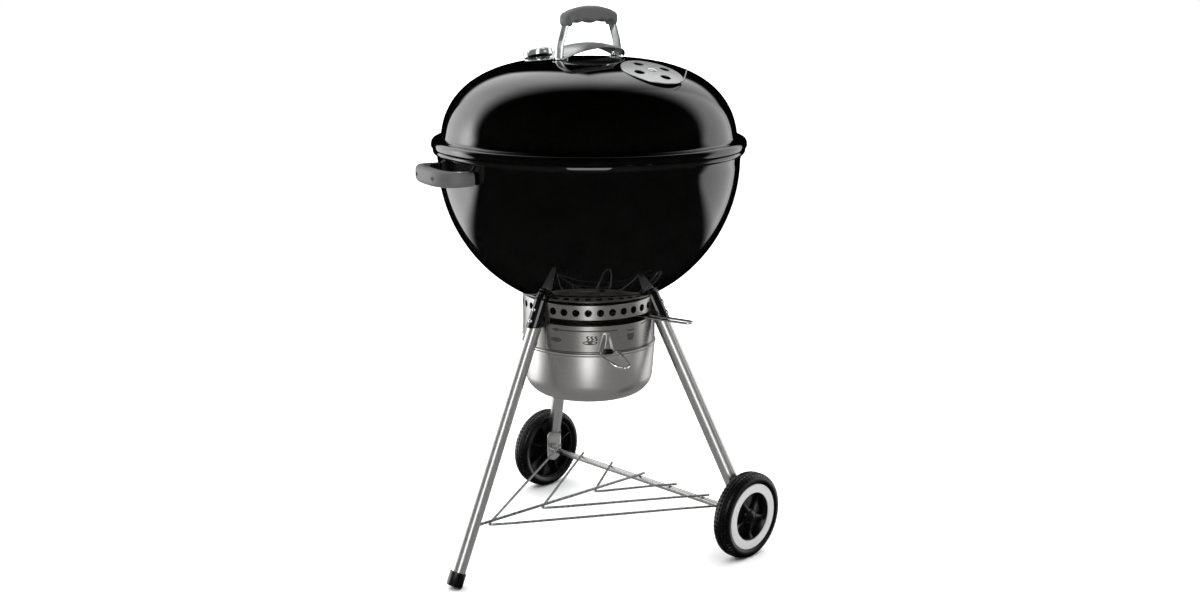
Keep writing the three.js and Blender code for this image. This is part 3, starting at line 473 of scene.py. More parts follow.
def four_holes(place, radius):
    """Four upright pins a quarter turn apart, which cut the holes of the lid and its damper."""
    pins = Parts()
    reach = 20 * MM
    for i in range(4):
        spot = (place @ Matrix.Rotation(math.radians(DAMPER_HOLE_TURN + i * 90), 4, "Z")
                @ Matrix.Translation((DAMPER_HOLE_AT, 0, 0)))
        turned(pins, [[0, -reach], [radius, -reach], [radius, reach], [0, reach]], 40, spot, closed=False)
    return pins


def make_lid():
    """One sheet: the dome's superellipse, then a flange that flares out and rolls under."""
    foot = LIP + 27 * MM
    last = math.asin((1 - ((foot - LID_BASE) / LID_HEIGHT) ** LID_POWERS[1]) ** 0.5)
    u = np.linspace(1e-3, last, 90)
    dome = np.stack([LID_RADIUS * np.sin(u) ** (2 / LID_POWERS[0]),
                     LID_BASE + LID_HEIGHT * np.cos(u) ** (2 / LID_POWERS[1])], axis=-1)
    dome[0, 0] = 0
    corners = [[dome[-1, 0], dome[-1, 1]], [LID_RADIUS + 0.6 * MM, LIP + 15 * MM],
               [FLANGE_RADIUS - 4.5 * MM, LIP + 14.5 * MM], [FLANGE_RADIUS - 0.3 * MM, LIP + 9 * MM],
               [FLANGE_RADIUS - 0.1 * MM, LIP + 1.6 * MM]]
    flare = rounded_path(np.column_stack([corners, np.zeros(5)]), 7 * MM, 9)[1:, :2]
    hem = np.array([[FLANGE_RADIUS - 0.4 * MM, LIP + 0.5 * MM], [FLANGE_RADIUS - 1.4 * MM, LIP + 0.1 * MM],
                    [FLANGE_RADIUS - 7 * MM, LIP + 0.6 * MM]])
    line = np.concatenate([dome, flare, hem])
    lid = show("lid_shell", turned(Parts(), line, 240, closed=False), enamel, "lid", ["lid"], 60)
    thicken(lid, SHEET)
    cut(lid, four_holes(lid_frame(DAMPER_ANGLE, DAMPER_AT), 8.7 * MM))


def make_damper():
    """A shallow cap cut with four holes, a bent-up tab at its edge, and embossed dots about the rivet."""
    place = lid_frame(DAMPER_ANGLE, DAMPER_AT)
    r = np.concatenate([[4], np.linspace(10, 54.5, 14), [55.6, 56]]) * MM
    under = 0.5 * MM - 3 * MM * (r / (56 * MM)) ** 2
    thick = np.full(len(r), 1.4 * MM)
    thick[-1] = 0.8 * MM
    top = np.stack([r, under + thick], axis=-1)
    base = np.stack([r, under], axis=-1)[::-1]
    disc = show("lid_damper_plate", turned(Parts(), np.concatenate([top, base]), 120, place), satin_sheet,
                "lid_damper", ["lid_damper"])
    cut(disc, four_holes(place, 9.5 * MM))
    tab = Parts()
    spin = place @ Matrix.Rotation(math.radians(-58), 4, "Z")
    path = rounded_path(np.array([[53, 0, -1.4], [59.2, 0, -1.6], [59.4, 0, 21.2]]) * MM, 3 * MM)
    width = np.interp(np.linspace(0, 1, len(path)), [0, 0.8, 1], [6, 6, 4.5]) * MM
    section = np.stack([squircle(w, 0.75 * MM, 6, 24) for w in width])
    flat = Parts()
    swept(flat, path, section[..., ::-1] * [1, -1], (0, 1, 0))
    tab.grid(moved(flat.points[0], spin).reshape(len(path) + 2, 24, 3), wrap_columns=True)
    for ring, count in ((14, 10), (19, 14), (24, 4)):
        for i in range(count):
            spot = place @ Matrix.Rotation(FULL_TURN * i / count, 4, "Z") @ \
                Matrix.Translation((ring * MM, 0, 1.9 * MM - 3 * MM * (ring / 56) ** 2))
            turned(tab, [[1.5 * MM, -0.3 * MM], [1.1 * MM, 0.25 * MM], [0, 0.4 * MM]], 10, spot, closed=False)
    show("lid_damper_tab", tab, satin_sheet, "lid_damper")
    rivet = [[0, 5.3], [3, 5.2], [6, 4.3], [8.4, 2.7], [8.8, 2.3], [2.4, 2.3], [2.4, -4], [0, -4]]
    show("damper_rivet_head", turned(Parts(), np.array(rivet) * MM, 32, place, closed=False), chrome, "lid",
         ["damper_rivet"])


def make_gauge():
    """A turned case with rolled edges and a dial with raised ticks; the pointer is the imported needle."""
    place = lid_frame(GAUGE_ANGLE, GAUGE_AT)
    low = np.array([[0, -68], [2, -67], [2.2, -4], [4, -4], [4, 2.0], [23, 2.2]])
    a = np.radians(np.linspace(-88, 88, 30))
    rise = np.sign(np.sin(a)) * np.abs(np.sin(a)) ** 0.8
    belly = np.stack([22.5 + 6 * np.cos(a) ** 0.6, 10.8 + 8.2 * rise], axis=-1)
    top = np.array([[23.6, 19], [22.9, 18.2], [22.9, 15.2], [0, 15.2]])
    shell = turned(Parts(), np.concatenate([low, belly, top]) * MM, 80, place, closed=False)
    show("gauge_shell", shell, chrome, "lid", ["gauge_case"], 50)
    dial = turned(Parts(), np.array([[0, 15.5], [22.4, 15.5], [22.6, 15.8], [22.4, 16.1], [0, 16.1]]) * MM,
                  64, place, closed=False)
    show("gauge_face", dial, pale_plastic, "lid", ["gauge_dial"])
    ticks = Parts()
    for i in range(27):
        spin = place @ Matrix.Rotation(math.radians(-130 + i * 10), 4, "Z")
        long = 5 if i % 5 == 0 else 2.6
        bar(ticks, [-0.35 * MM, (19.5 - long) * MM, 16.1 * MM], [0.35 * MM, 19.5 * MM, 16.3 * MM], spin)
    show("gauge_ticks", ticks, ink, "lid")


def strap_line(count=90):
    """Centre line of the lid handle's strap in the (y, z) plane, from one foot to the other."""
    low, high = edges("lid_strap")
    foot, top = low[2] + 1.2 * MM, high[2] - 1.5 * MM
    span = STRAP_SPAN
    half = np.array([[span + 1 * MM, foot + 1 * MM], [span - 2 * MM, foot + 26 * MM],
                     [span - 11 * MM, foot + 50 * MM],
                     [span - 17 * MM, foot + 68 * MM], [span - 26 * MM, top], [20 * MM, top]])
    corners = np.concatenate([half, half[::-1] * [-1, 1]])
    flat = rounded_path(np.column_stack([0 * corners[:, 0], corners]), 10 * MM, 8)
    return flat + [0, AXIS_Y, 0]


def make_lid_handle():
    """Strap, two feet, bolts, an arched grip and an oval heat shield."""
    strap = Parts()
    swept(strap, strap_line(), squircle(1.4 * MM, 9.8 * MM, 6, 28), (1, 0, 0))
    foot = lid_height_at(STRAP_SPAN)
    for side in (-1, 1):
        near, far = sorted([AXIS_Y + side * 61.5 * MM, AXIS_Y + side * 77.5 * MM])
        bar(strap, [-10 * MM, near, foot + 0.9 * MM], [10 * MM, far, foot + 3.4 * MM])
    show("lid_handle_strap", strap, chrome, "lid", ["lid_strap"])
    for name, side in (("near", -1), ("far", 1)):
        node = f"lid_bolt_{name}"
        low, high = edges(node)
        head = np.array([[0, 3.4], [2, 3.3], [4.2, 2.2], [4.5, 0.8], [4.5, 0], [0, 0]]) * MM
        centre = (low + high) / 2
        show(f"{node}_head", turned(Parts(), head, 24, upright(centre[0], centre[1], low[2]), closed=False),
             chrome, "lid", [node])
    low, high = edges("lid_grip")
    grip_y, half = (low[1] + high[1]) / 2, (high[1] - low[1]) / 2
    t = np.sin(np.linspace(-np.pi / 2, np.pi / 2, 120))
    y = t * half
    crown = high[2] - 13 * MM * np.abs(t) ** 2.4
    wave = 1.6 * MM * np.cos(np.abs(t) * 10.5) * (np.abs(t) < 0.75)
    belly = high[2] - 29 * MM + 3.0 * MM * np.exp(-((np.abs(t) - 0.66) / 0.1) ** 2) - wave
    belly -= 6.5 * MM * np.clip((np.abs(t) - 0.74) / 0.08, 0, 1) ** 1.5
    close = (1 - np.abs(t) ** 40) ** 0.5
    middle = (crown + belly) / 2
    tall = (crown - belly) / 2 * np.maximum(close, 0.02)
    wide = (high[0] - low[0]) / 2 * (0.84 + 0.16 * np.abs(t) ** 3) * np.maximum(close, 0.02)
    a = np.arange(48) * FULL_TURN / 48
    c, s = np.cos(a), np.sin(a)
    reach = (np.abs(c) ** 3.6 + np.abs(s) ** 3.6) ** (-1 / 3.6)
    grip = np.stack([wide[:, None] * c * reach, (grip_y + y)[:, None] + 0 * a,
                     middle[:, None] + tall[:, None] * s * reach], axis=-1)
    show("lid_handle_grip", Parts().grid(with_ends(grip), wrap_columns=True), nylon, "lid",
         ["lid_grip"], 60)
    low, high = edges("lid_heat_shield")
    reach_y, reach_x = (high[1] - low[1]) / 2 - 6 * MM, (high[0] - low[0]) / 2
    u, v = np.meshgrid(np.linspace(0, 1, 26), np.arange(96) * FULL_TURN / 96, indexing="ij")
    px, py = u * np.cos(v) * reach_x, u * np.sin(v) * reach_y
    pz = high[2] - 1.5 * MM - 20 * MM * (py / reach_y) ** 2 - 11 * MM * (py / reach_y) ** 6
    pz = np.maximum(pz - 6.5 * MM * (px / reach_x) ** 2, lid_height_at(np.hypot(px, py)) + 1.2 * MM)
    sheet = np.stack([px, AXIS_Y + py, pz], axis=-1)
    shield = show("lid_handle_shield", Parts().grid(sheet, wrap_columns=True), satin_sheet, "lid",
                  ["lid_heat_shield"], 60)
    slots = Parts()
    for side in (-1, 1):
        near, far = sorted([AXIS_Y + side * 70 * MM, AXIS_Y + side * 83 * MM])
        bar(slots, [-11 * MM, near, foot - 20 * MM], [11 * MM, far, foot + 40 * MM])
    thicken(shield, 1.4 * MM, 0)
    cut(shield, slots)


# ---------- ash ring and pan ----------

def rounded_box_distance(x, y, half_x, half_y, radius):
    """Signed distance to a rectangle with rounded corners, negative inside."""
    dx, dy = np.abs(x) - half_x + radius, np.abs(y) - half_y + radius
    return np.hypot(np.maximum(dx, 0), np.maximum(dy, 0)) + np.minimum(np.maximum(dx, dy), 0) - radius


def make_ash_ring():
    """A sleeve whose wall is pushed out over three rounded panels and three tapered tabs, then punched."""
    angle = np.linspace(0, 360, 720, endpoint=False)
    z = np.linspace(RING_BOTTOM, RING_TOP - 0.4 * MM, 84)
    a, h = np.meshgrid(angle, z, indexing="xy")
    from_panel = (a % 120 - 60) * np.pi / 180 * RING_RADIUS
    middle, half_high = (RING_BOTTOM + RING_TOP) / 2 + 0.6 * MM, (RING_TOP - RING_BOTTOM) / 2 - 1.6 * MM
    edge = rounded_box_distance(from_panel, h - middle, math.radians(53.5) * RING_RADIUS, half_high, 7 * MM)
    proud = 2 * MM * np.clip(0.5 - edge / (1.6 * MM), 0, 1)
    up = np.clip((h - RING_BOTTOM) / (40 * MM), 0, 1.2)
    tab_half = (15 - 9 * up) * MM
    tab = np.clip((tab_half - np.abs(from_panel)) / (7 * MM), 0, 1) * np.clip((1 - up) / 0.12, 0, 1)
    proud = proud + tab * (8.5 - 6 * up) * MM
    outer = around(a, WALL_RADIUS + proud, h)
    inner = around(a[:2], WALL_RADIUS - 1.4 * MM, np.array([[z[0]], [z[-1]]]) + 0 * a[:2])
    parts = Parts().grid(np.concatenate([outer, inner[::-1]]), wrap_rows=True, wrap_columns=True)
    ring = show("ash_ring_sleeve", parts, stainless, "stand", ["ash_ring"], 50)
    tools = Parts()
    for panel in range(3):
        for i in range(AIR_HOLES):
            turn = 60 + panel * 120 + (i - (AIR_HOLES - 1) / 2) * AIR_HOLE_PITCH
            spot = turned_about_bowl(turn) @ upright(0, AXIS_Y - RING_RADIUS, RING_TOP - 15.5 * MM, 90)
            pin = np.array([[0, -12], [AIR_HOLE_RADIUS, -12], [AIR_HOLE_RADIUS, 12], [0, 12]]) * MM
            turned(tools, pin, 32, spot, closed=False)
    cut(ring, tools)
    tools = Parts()
    slot_low, slot_high = RING_TOP - 40.5 * MM, RING_TOP - 28.5 * MM
    sweep = np.linspace(10, 112, 60)
    near, far = WALL_RADIUS - 9 * MM, RING_RADIUS + 9 * MM
    box = [(near, slot_low), (far, slot_low), (far, slot_high), (near, slot_high)]
    walls = np.stack([around(sweep, r, h) for r, h in box], axis=1)
    tools.grid(with_ends(walls), wrap_columns=True)
    cut(ring, tools)


def make_ring_marks():
    """Flat printed marks a hair above the first panel: an arrow, a dash, an oval, vapour lines and a pail."""
    lift = RING_RADIUS + 0.12 * MM
    marks = Parts()

    def patch(corners):
        """A quad strip: rows of (angle, height) pairs, low edge then high edge."""
        low, high = (np.array(side, float) for side in corners)
        t = np.linspace(0, 1, 24)
        at = np.linspace(0, 1, len(low))
        rows = [around(np.interp(t, at, side[:, 0]), lift, np.interp(t, at, side[:, 1]) * MM + RING_TOP)
                for side in (low, high)]
        marks.grid(np.stack(rows))

    patch([[(16, -50.6), (70, -50.6)], [(16, -47.9), (70, -48.4)]])
    patch([[(11, -49.2), (18, -53.4)], [(11, -49.2), (18, -45.2)]])
    patch([[(95, -46.6), (106, -43.8)], [(95, -44.6), (106, -42.0)]])
    t = np.linspace(0, FULL_TURN, 40, endpoint=False)
    for angle, height, wide, tall in ((16.4, -68.2, 5.2, 4.2), (46, -71, 6.2, 3.8), (82.7, -52.6, 4.2, 1.6)):
        rim = around(angle + wide * np.cos(t), lift, RING_TOP + (height + tall * np.sin(t)) * MM)
        centre = np.broadcast_to(around(angle, lift, RING_TOP + height * MM), rim.shape)
        marks.grid(np.stack([centre, rim]), wrap_columns=True)
    for angle in (43, 46.5, 50):
        patch([[(angle, -67), (angle + 1, -64), (angle - 0.6, -61), (angle + 0.6, -58)],
               [(angle + 1.7, -67), (angle + 2.7, -64), (angle + 1.1, -61), (angle + 2.3, -58)]])
    patch([[(80.2, -71.5), (85.2, -71.5)], [(78.6, -59), (86.8, -59)]])
    show("ash_ring_marks", marks, ink, "stand")


def make_ash_pan():
    """A spun pot: neck inside the ring, a rolled bead, a slightly tapering wall and a large rounded foot."""
    low, high = edges("ash_pan")
    top, floor = RING_BOTTOM - 0.3 * MM, low[2]
    neck = WALL_RADIUS - 2 * MM - 1.2 * MM
    bead_r = (high[1] - low[1]) / 2
    a = np.linspace(0, np.pi / 2, 26)
    waist, rounding, wall = 122 * MM, 41 * MM, 1.6 * MM

    def foot(shrink):
        """The rounded foot as a quarter circle, drawn in by the wall for the inside."""
        return np.stack([waist - rounding + (rounding - shrink) * np.cos(a),
                         floor + rounding - (rounding - shrink) * np.sin(a)], axis=-1)

    b = np.linspace(np.pi / 2, -np.pi / 2, 12)
    bead = np.stack([bead_r - 3 * MM + 3 * MM * np.cos(b), top - 3.2 * MM + 3 * MM * np.sin(b)], axis=-1)
    outer = np.concatenate([[[neck, top + 11 * MM]], [[neck, top + 0.2 * MM]], bead,
                            [[bead_r - 1.6 * MM, top - 9 * MM]], foot(0), [[0, floor]]])
    inner = np.concatenate([[[0, floor + wall]], foot(wall)[::-1], [[neck - wall, top - 8 * MM]],
                            [[neck - wall, top + 11 * MM]]])
    show("ash_pan_pot", turned(Parts(), np.concatenate([outer, inner]), 200), spun_aluminium, "ash_pan",
         ["ash_pan"], 35)


# ---------- wire pieces ----------

def make_wires():
    """Round wire carried along bent paths: the pan handle, the lever and the rack."""
    start, z = RING_RADIUS + 11.5 * MM, edges("pan_handle")[0][2] + 2.2 * MM
    corners = np.array([[-9, -start / MM, 0], [-18, -start / MM - 9, 0], [-18, -start / MM - 32, 0],
                        [-13, -234, 0], [0, -253, 0], [13, -234, 0], [18, -start / MM - 32, 0],
                        [18, -start / MM - 9, 0], [9, -start / MM, 0]]) * MM
    loop = moved(rounded_path(corners, 9 * MM, 8) + [0, AXIS_Y, z], turned_about_bowl(60))
    cross = moved(np.array([[-9.6 * MM, AXIS_Y - start, z], [9.6 * MM, AXIS_Y - start, z]]),
                  turned_about_bowl(60))
    wire = Parts()
    swept(wire, loop, circle(2.1 * MM), (0, 0, 1))
    swept(wire, cross, circle(2.1 * MM), (0, 0, 1))
    show("pan_handle_wire", wire, chrome, "pan_handle", ["pan_handle"], 60)
    hinge = Parts()
    spot = turned_about_bowl(60) @ upright(0, AXIS_Y - start, z) @ Matrix.Rotation(math.pi / 2, 4, "Y")
    turned(hinge, np.array([[2.5, -7.5], [4.2, -7.5], [4.5, -7], [4.5, 7], [4.2, 7.5], [2.5, 7.5]]) * MM,
           32, spot)
    bar(hinge, [-7.4 * MM, AXIS_Y - start + 2.6 * MM, z - 3.8 * MM],
        [7.4 * MM, AXIS_Y - start + 5.2 * MM, z + 3.8 * MM],
        turned_about_bowl(60))
    show("pan_hinge_sleeve", hinge, black_plastic, "ash_pan", ["pan_hinge"])
    low, high = edges("sweep_lever")
    z = (low[2] + high[2]) / 2
    corners = np.array([[-9.5, -7, 0], [-9.5, -210, 0], [-7.6, -222, 0], [7.6, -222, 0], [9.5, -210, 0],
                        [9.5, -7, 0]]) * MM
    lever = Parts()
    swept(lever, moved(rounded_path(corners, 7 * MM, 8) + [0, AXIS_Y, z], turned_about_bowl(102.5)),
          circle(2.2 * MM), (0, 0, 1))
    show("sweep_lever_wire", lever, chrome, "sweep", ["sweep_lever"], 60)
    radius = 2.6 * MM
    rear = AXLE_Z + AXLE_RADIUS + radius + 0.3 * MM
    front = rear + 14 * MM
    front_y = AXIS_Y - leg_radius_at(front)

    def height(y):
        """Rack height: a straight slope from the front leg back to the axle."""
        return rear + (front - rear) * np.clip((AXLE_Y - y) / (AXLE_Y - front_y), 0, 1)

    spine = Parts()
    path = np.array([[0, front_y + 4 * MM, front], [0, AXLE_Y, rear], [0, AXLE_Y + 12 * MM, rear]])
    swept(spine, rounded_path(path, 6 * MM), circle(radius), (1, 0, 0))
    show("rack_spine_wire", spine, plated_wire, "stand", ["rack_spine"], 60)
    for name in ("outer", "middle", "inner"):
        node = f"rack_bend_{name}"
        low, high = edges(node)
        apex_y = low[1] + radius
        span = AXLE_Y - apex_y
        half = (high[0] - 1 * MM) / (1 + 12 * MM / np.hypot(high[0], span))
        drop = 2 * radius + 0.3 * MM

        def arm(side):
            """One side of a bend, from its hooked end behind the axle to just short of the apex."""
            return np.array([
                [side * half * (1 + 12 * MM / span), AXLE_Y + 11 * MM, rear], [side * half, AXLE_Y, rear],
                [side * half * 0.8, AXLE_Y - span * 0.2, height(AXLE_Y - span * 0.2) - 0.5 * MM],
                [side * half * 0.12, AXLE_Y - span * 0.88, height(AXLE_Y - span * 0.88) - drop]])

        corners = np.concatenate([arm(-1), [[0, apex_y, height(apex_y) - drop]], arm(1)[::-1]])
        bend = Parts()
        swept(bend, rounded_path(corners, 10 * MM), circle(2.3 * MM), (0, 0, 1))
        show(f"{node}_wire", bend, plated_wire, "stand", [node], 60)


def make_grates():
    """Each grate is a ring of wire with parallel rods laid across it and two cross bars under them."""
    for name, pitch, cross in (("cooking_grate", 16.5, 130), ("charcoal_grate", 27, 90)):
        low, high = edges(name)
        radius, z, wire = (high[1] - low[1]) / 2 - 3 * MM, (low[2] + high[2]) / 2, 2.6 * MM
        a = np.arange(8) * FULL_TURN / 8
        parts = turned(Parts(), np.stack([radius + 2.9 * MM * np.cos(a), z + 2.9 * MM * np.sin(a)],
                                         axis=-1), 120)
        count = int((radius - 8 * MM) / (pitch * MM))
        x = np.arange(-count, count + 1) * pitch * MM
        reach = np.sqrt(radius ** 2 - x ** 2)
        ring = circle(wire * 0.85, 8)
        rods = np.stack([np.stack([x[:, None] + ring[:, 0], AXIS_Y + side * reach[:, None] + 0 * ring[:, 0],
                                   z + ring[:, 1] + 0 * x[:, None]], axis=-1) for side in (-1, 1)], axis=1)
        for rod in rods:
            parts.grid(rod, wrap_columns=True)
        for y in (-cross * MM, cross * MM):
            long = math.sqrt(radius ** 2 - y ** 2)
            path = np.array([[-long, AXIS_Y + y, z - 0.3 * MM], [long, AXIS_Y + y, z - 0.3 * MM]])
            swept(parts, path, circle(wire * 0.9, 8), (0, 0, 1))
        show(f"{name}_rods", parts, plated_wire, name, [name], 60)


# ---------- legs and wheels ----------

def leg_frame(height):
    """A frame on the front leg's line, its Z up the leg and its Y towards the bowl's axis."""
    return upright(0, AXIS_Y - leg_radius_at(height), height, -math.degrees(SPLAY))


def make_legs():
    """Tubes: circles carried up the leg's line; the rear ones flatten into paddles about the axle."""
    foot_low = edges("leg_front")[0]
    top = RING_TOP - 2 * MM
    front = Parts()
    start = np.array([0, AXIS_Y - leg_radius_at(foot_low[2] + 6 * MM), foot_low[2] + 6 * MM])
    end = np.array([0, AXIS_Y - leg_radius_at(top), top])
    t = np.linspace(0, 1, 30)[:, None]
    swept(front, start + (end - start) * t, circle(LEG_RADIUS, 48), (1, 0, 0))
    show("leg_front_tube", front, plated_tube, "stand", ["leg_front"], 50)
    for name, side in (("right", 1), ("left", -1)):
        low = edges(f"leg_{name}")[0]
        paddle_x = side * PADDLE_X
        z = np.concatenate([np.linspace(top, AXLE_Z + 54 * MM, 30),
                            np.linspace(AXLE_Z + 50 * MM, low[2] + 0.2 * MM, 44)])
        r = leg_radius_at(z)
        x = side * r * math.sin(math.radians(120))
        y = AXIS_Y - r * math.cos(math.radians(120))
        blend = np.clip((AXLE_Z + 54 * MM - z) / (26 * MM), 0, 1)
        blend = blend * blend * (3 - 2 * blend)
        x = x + (paddle_x - x) * blend
        y = y + (AXLE_Y - y) * blend
        tip = np.clip((z - low[2]) / (16 * MM), 0, 1)
        taper = np.sqrt(np.clip(1 - (1 - tip) ** 2, 0, 1))
        a = np.arange(48) * FULL_TURN / 48
        c, s = np.cos(a), np.sin(a)
        power = 2 + 3 * blend[:, None]
        fit = (np.abs(c) ** power + np.abs(s) ** power) ** (-1 / power)
        flat = 1.9 * MM
        out_half = (LEG_RADIUS * (1 - blend) + flat * blend)[:, None] * c * fit
        wide_half = (LEG_RADIUS * (1 - blend) + 20 * MM * blend * np.maximum(taper, 0.03))[:, None] * s * fit
        out_angle = math.radians(side * 30) * (1 - blend)[:, None]
        ox, oy = side * np.cos(out_angle), side * np.sin(out_angle)
        drop = -math.tan(SPLAY) * (1 - blend)
        px = x[:, None] + out_half * ox - wide_half * oy
        py = y[:, None] + out_half * oy + wide_half * ox
        pz = z[:, None] + out_half * -drop[:, None]
        points = np.stack([px, py, pz], axis=-1)
        leg = show(f"leg_{name}_tube", Parts().grid(with_ends(points), wrap_columns=True), plated_tube,
                   "stand", [f"leg_{name}"], 50)
        bore = Parts()
        spot = Matrix.Translation((paddle_x, AXLE_Y, AXLE_Z)) @ Matrix.Rotation(math.pi / 2, 4, "Y")
        turned(bore, np.array([[0, -9], [6.2, -9], [6.2, 9], [0, 9]]) * MM, 40, spot, closed=False)
        cut(leg, bore)


def make_sockets():
    """A folded channel about each leg, its top trimmed to the bowl, and two domed screws on the tube."""
    low = edges("leg_socket_front")[0]
    wall, room, edge = 2.3 * MM, LEG_RADIUS + 0.4 * MM, 15 * MM
    bend = np.radians(np.linspace(180, 360, 25))
    outer = np.stack([(room + wall) * np.cos(bend), (room + wall) * np.sin(bend)], axis=-1)
    inner = np.stack([room * np.cos(bend), room * np.sin(bend)], axis=-1)[::-1]
    section = np.concatenate([[[-room - wall, edge]], outer, [[room + wall, edge]], [[room, edge]], inner,
                              [[-room, edge]]])
    for name, turn in (("front", 0), ("right", 120), ("left", -120)):
        lengths = np.linspace(0, 1, 24)[:, None]
        base = np.array(turned_about_bowl(0) @ leg_frame(low[2] + 4 * MM))
        start = np.column_stack([section, 0 * section[:, 0]]) @ base[:3, :3].T + base[:3, 3]
        axis = base[:3, 2]
        bottom = (low[2] - start[:, 2]) / axis[2]
        near, far = np.zeros(len(section)), np.full(len(section), 90 * MM)
        for _ in range(30):
            mid = (near + far) / 2
            point = start + mid[:, None] * axis
            inside_bowl = np.hypot(point[:, 0], point[:, 1] - AXIS_Y) < bowl_radius_at(point[:, 2])
            near, far = np.where(inside_bowl, near, mid), np.where(inside_bowl, mid, far)
        along = bottom + (near + 0.2 * MM - bottom) * lengths
        points = start + along[..., None] * axis
        parts = Parts()
        turn_matrix = turned_about_bowl(turn)
        parts.grid(moved(points, turn_matrix), wrap_columns=True)
        piece = show(f"leg_socket_{name}_channel", parts, enamel, "stand", [f"leg_socket_{name}"],
                     40)
        work = bmesh.new()
        work.from_mesh(piece.data)
        bmesh.ops.holes_fill(work, edges=[e for e in work.edges if e.is_boundary])
        bmesh.ops.recalc_face_normals(work, faces=work.faces)
        work.to_mesh(piece.data)
        work.free()
        for level, drop in (("upper", 20), ("lower", 40)):
            node = f"leg_screw_{level}_{name}"
            place = (turned_about_bowl(turn) @ leg_frame(RING_TOP - drop * MM)
                     @ upright(0, -LEG_RADIUS - 2.9 * MM, 0, 90))
            head = np.array([[0, 1.2], [1.3, 1.2], [1.6, 2.6], [3, 2.3], [4.3, 1.2], [4.7, 0.2], [4.7, -0.4],
                             [0, -0.4]]) * MM
            show(f"{node}_head", turned(Parts(), head, 24, place, closed=False), chrome, "stand", [node])


def make_foot():
    """A moulded cup on the front tube, with a rounded lip and a foot cut level by the floor."""
    radius = 15 * MM
    end = radius * math.sin(SPLAY) - 1.2 * MM
    profile = np.array([[0, 0], [13.6, 0], [14.7, 0.5], [15, 1.6], [14.9, 24.6], [14.5, 25.7], [13.6, 26],
                        [12.9, 25.6], [12.9, 5.4], [0, 5.4]]) * MM
    parts = turned(Parts(), profile, 64, leg_frame(end), closed=False)
    parts.points[0][:, 2] = np.maximum(parts.points[0][:, 2], 0)
    show("foot_cap_cup", parts, black_plastic, "stand", ["foot_cap"])


def make_axle():
    """A plain round bar with chamfered ends."""
    half = axle_high[0]
    spot = Matrix.Translation((0, AXLE_Y, AXLE_Z)) @ Matrix.Rotation(math.pi / 2, 4, "Y")
    profile = np.array([[0, -half], [AXLE_RADIUS - 1 * MM, -half], [AXLE_RADIUS, -half + 1 * MM],
                        [AXLE_RADIUS, half - 1 * MM], [AXLE_RADIUS - 1 * MM, half], [0, half]])
    show("axle_bar", turned(Parts(), profile, 40, spot, closed=False), plated_tube, "stand", ["axle"])


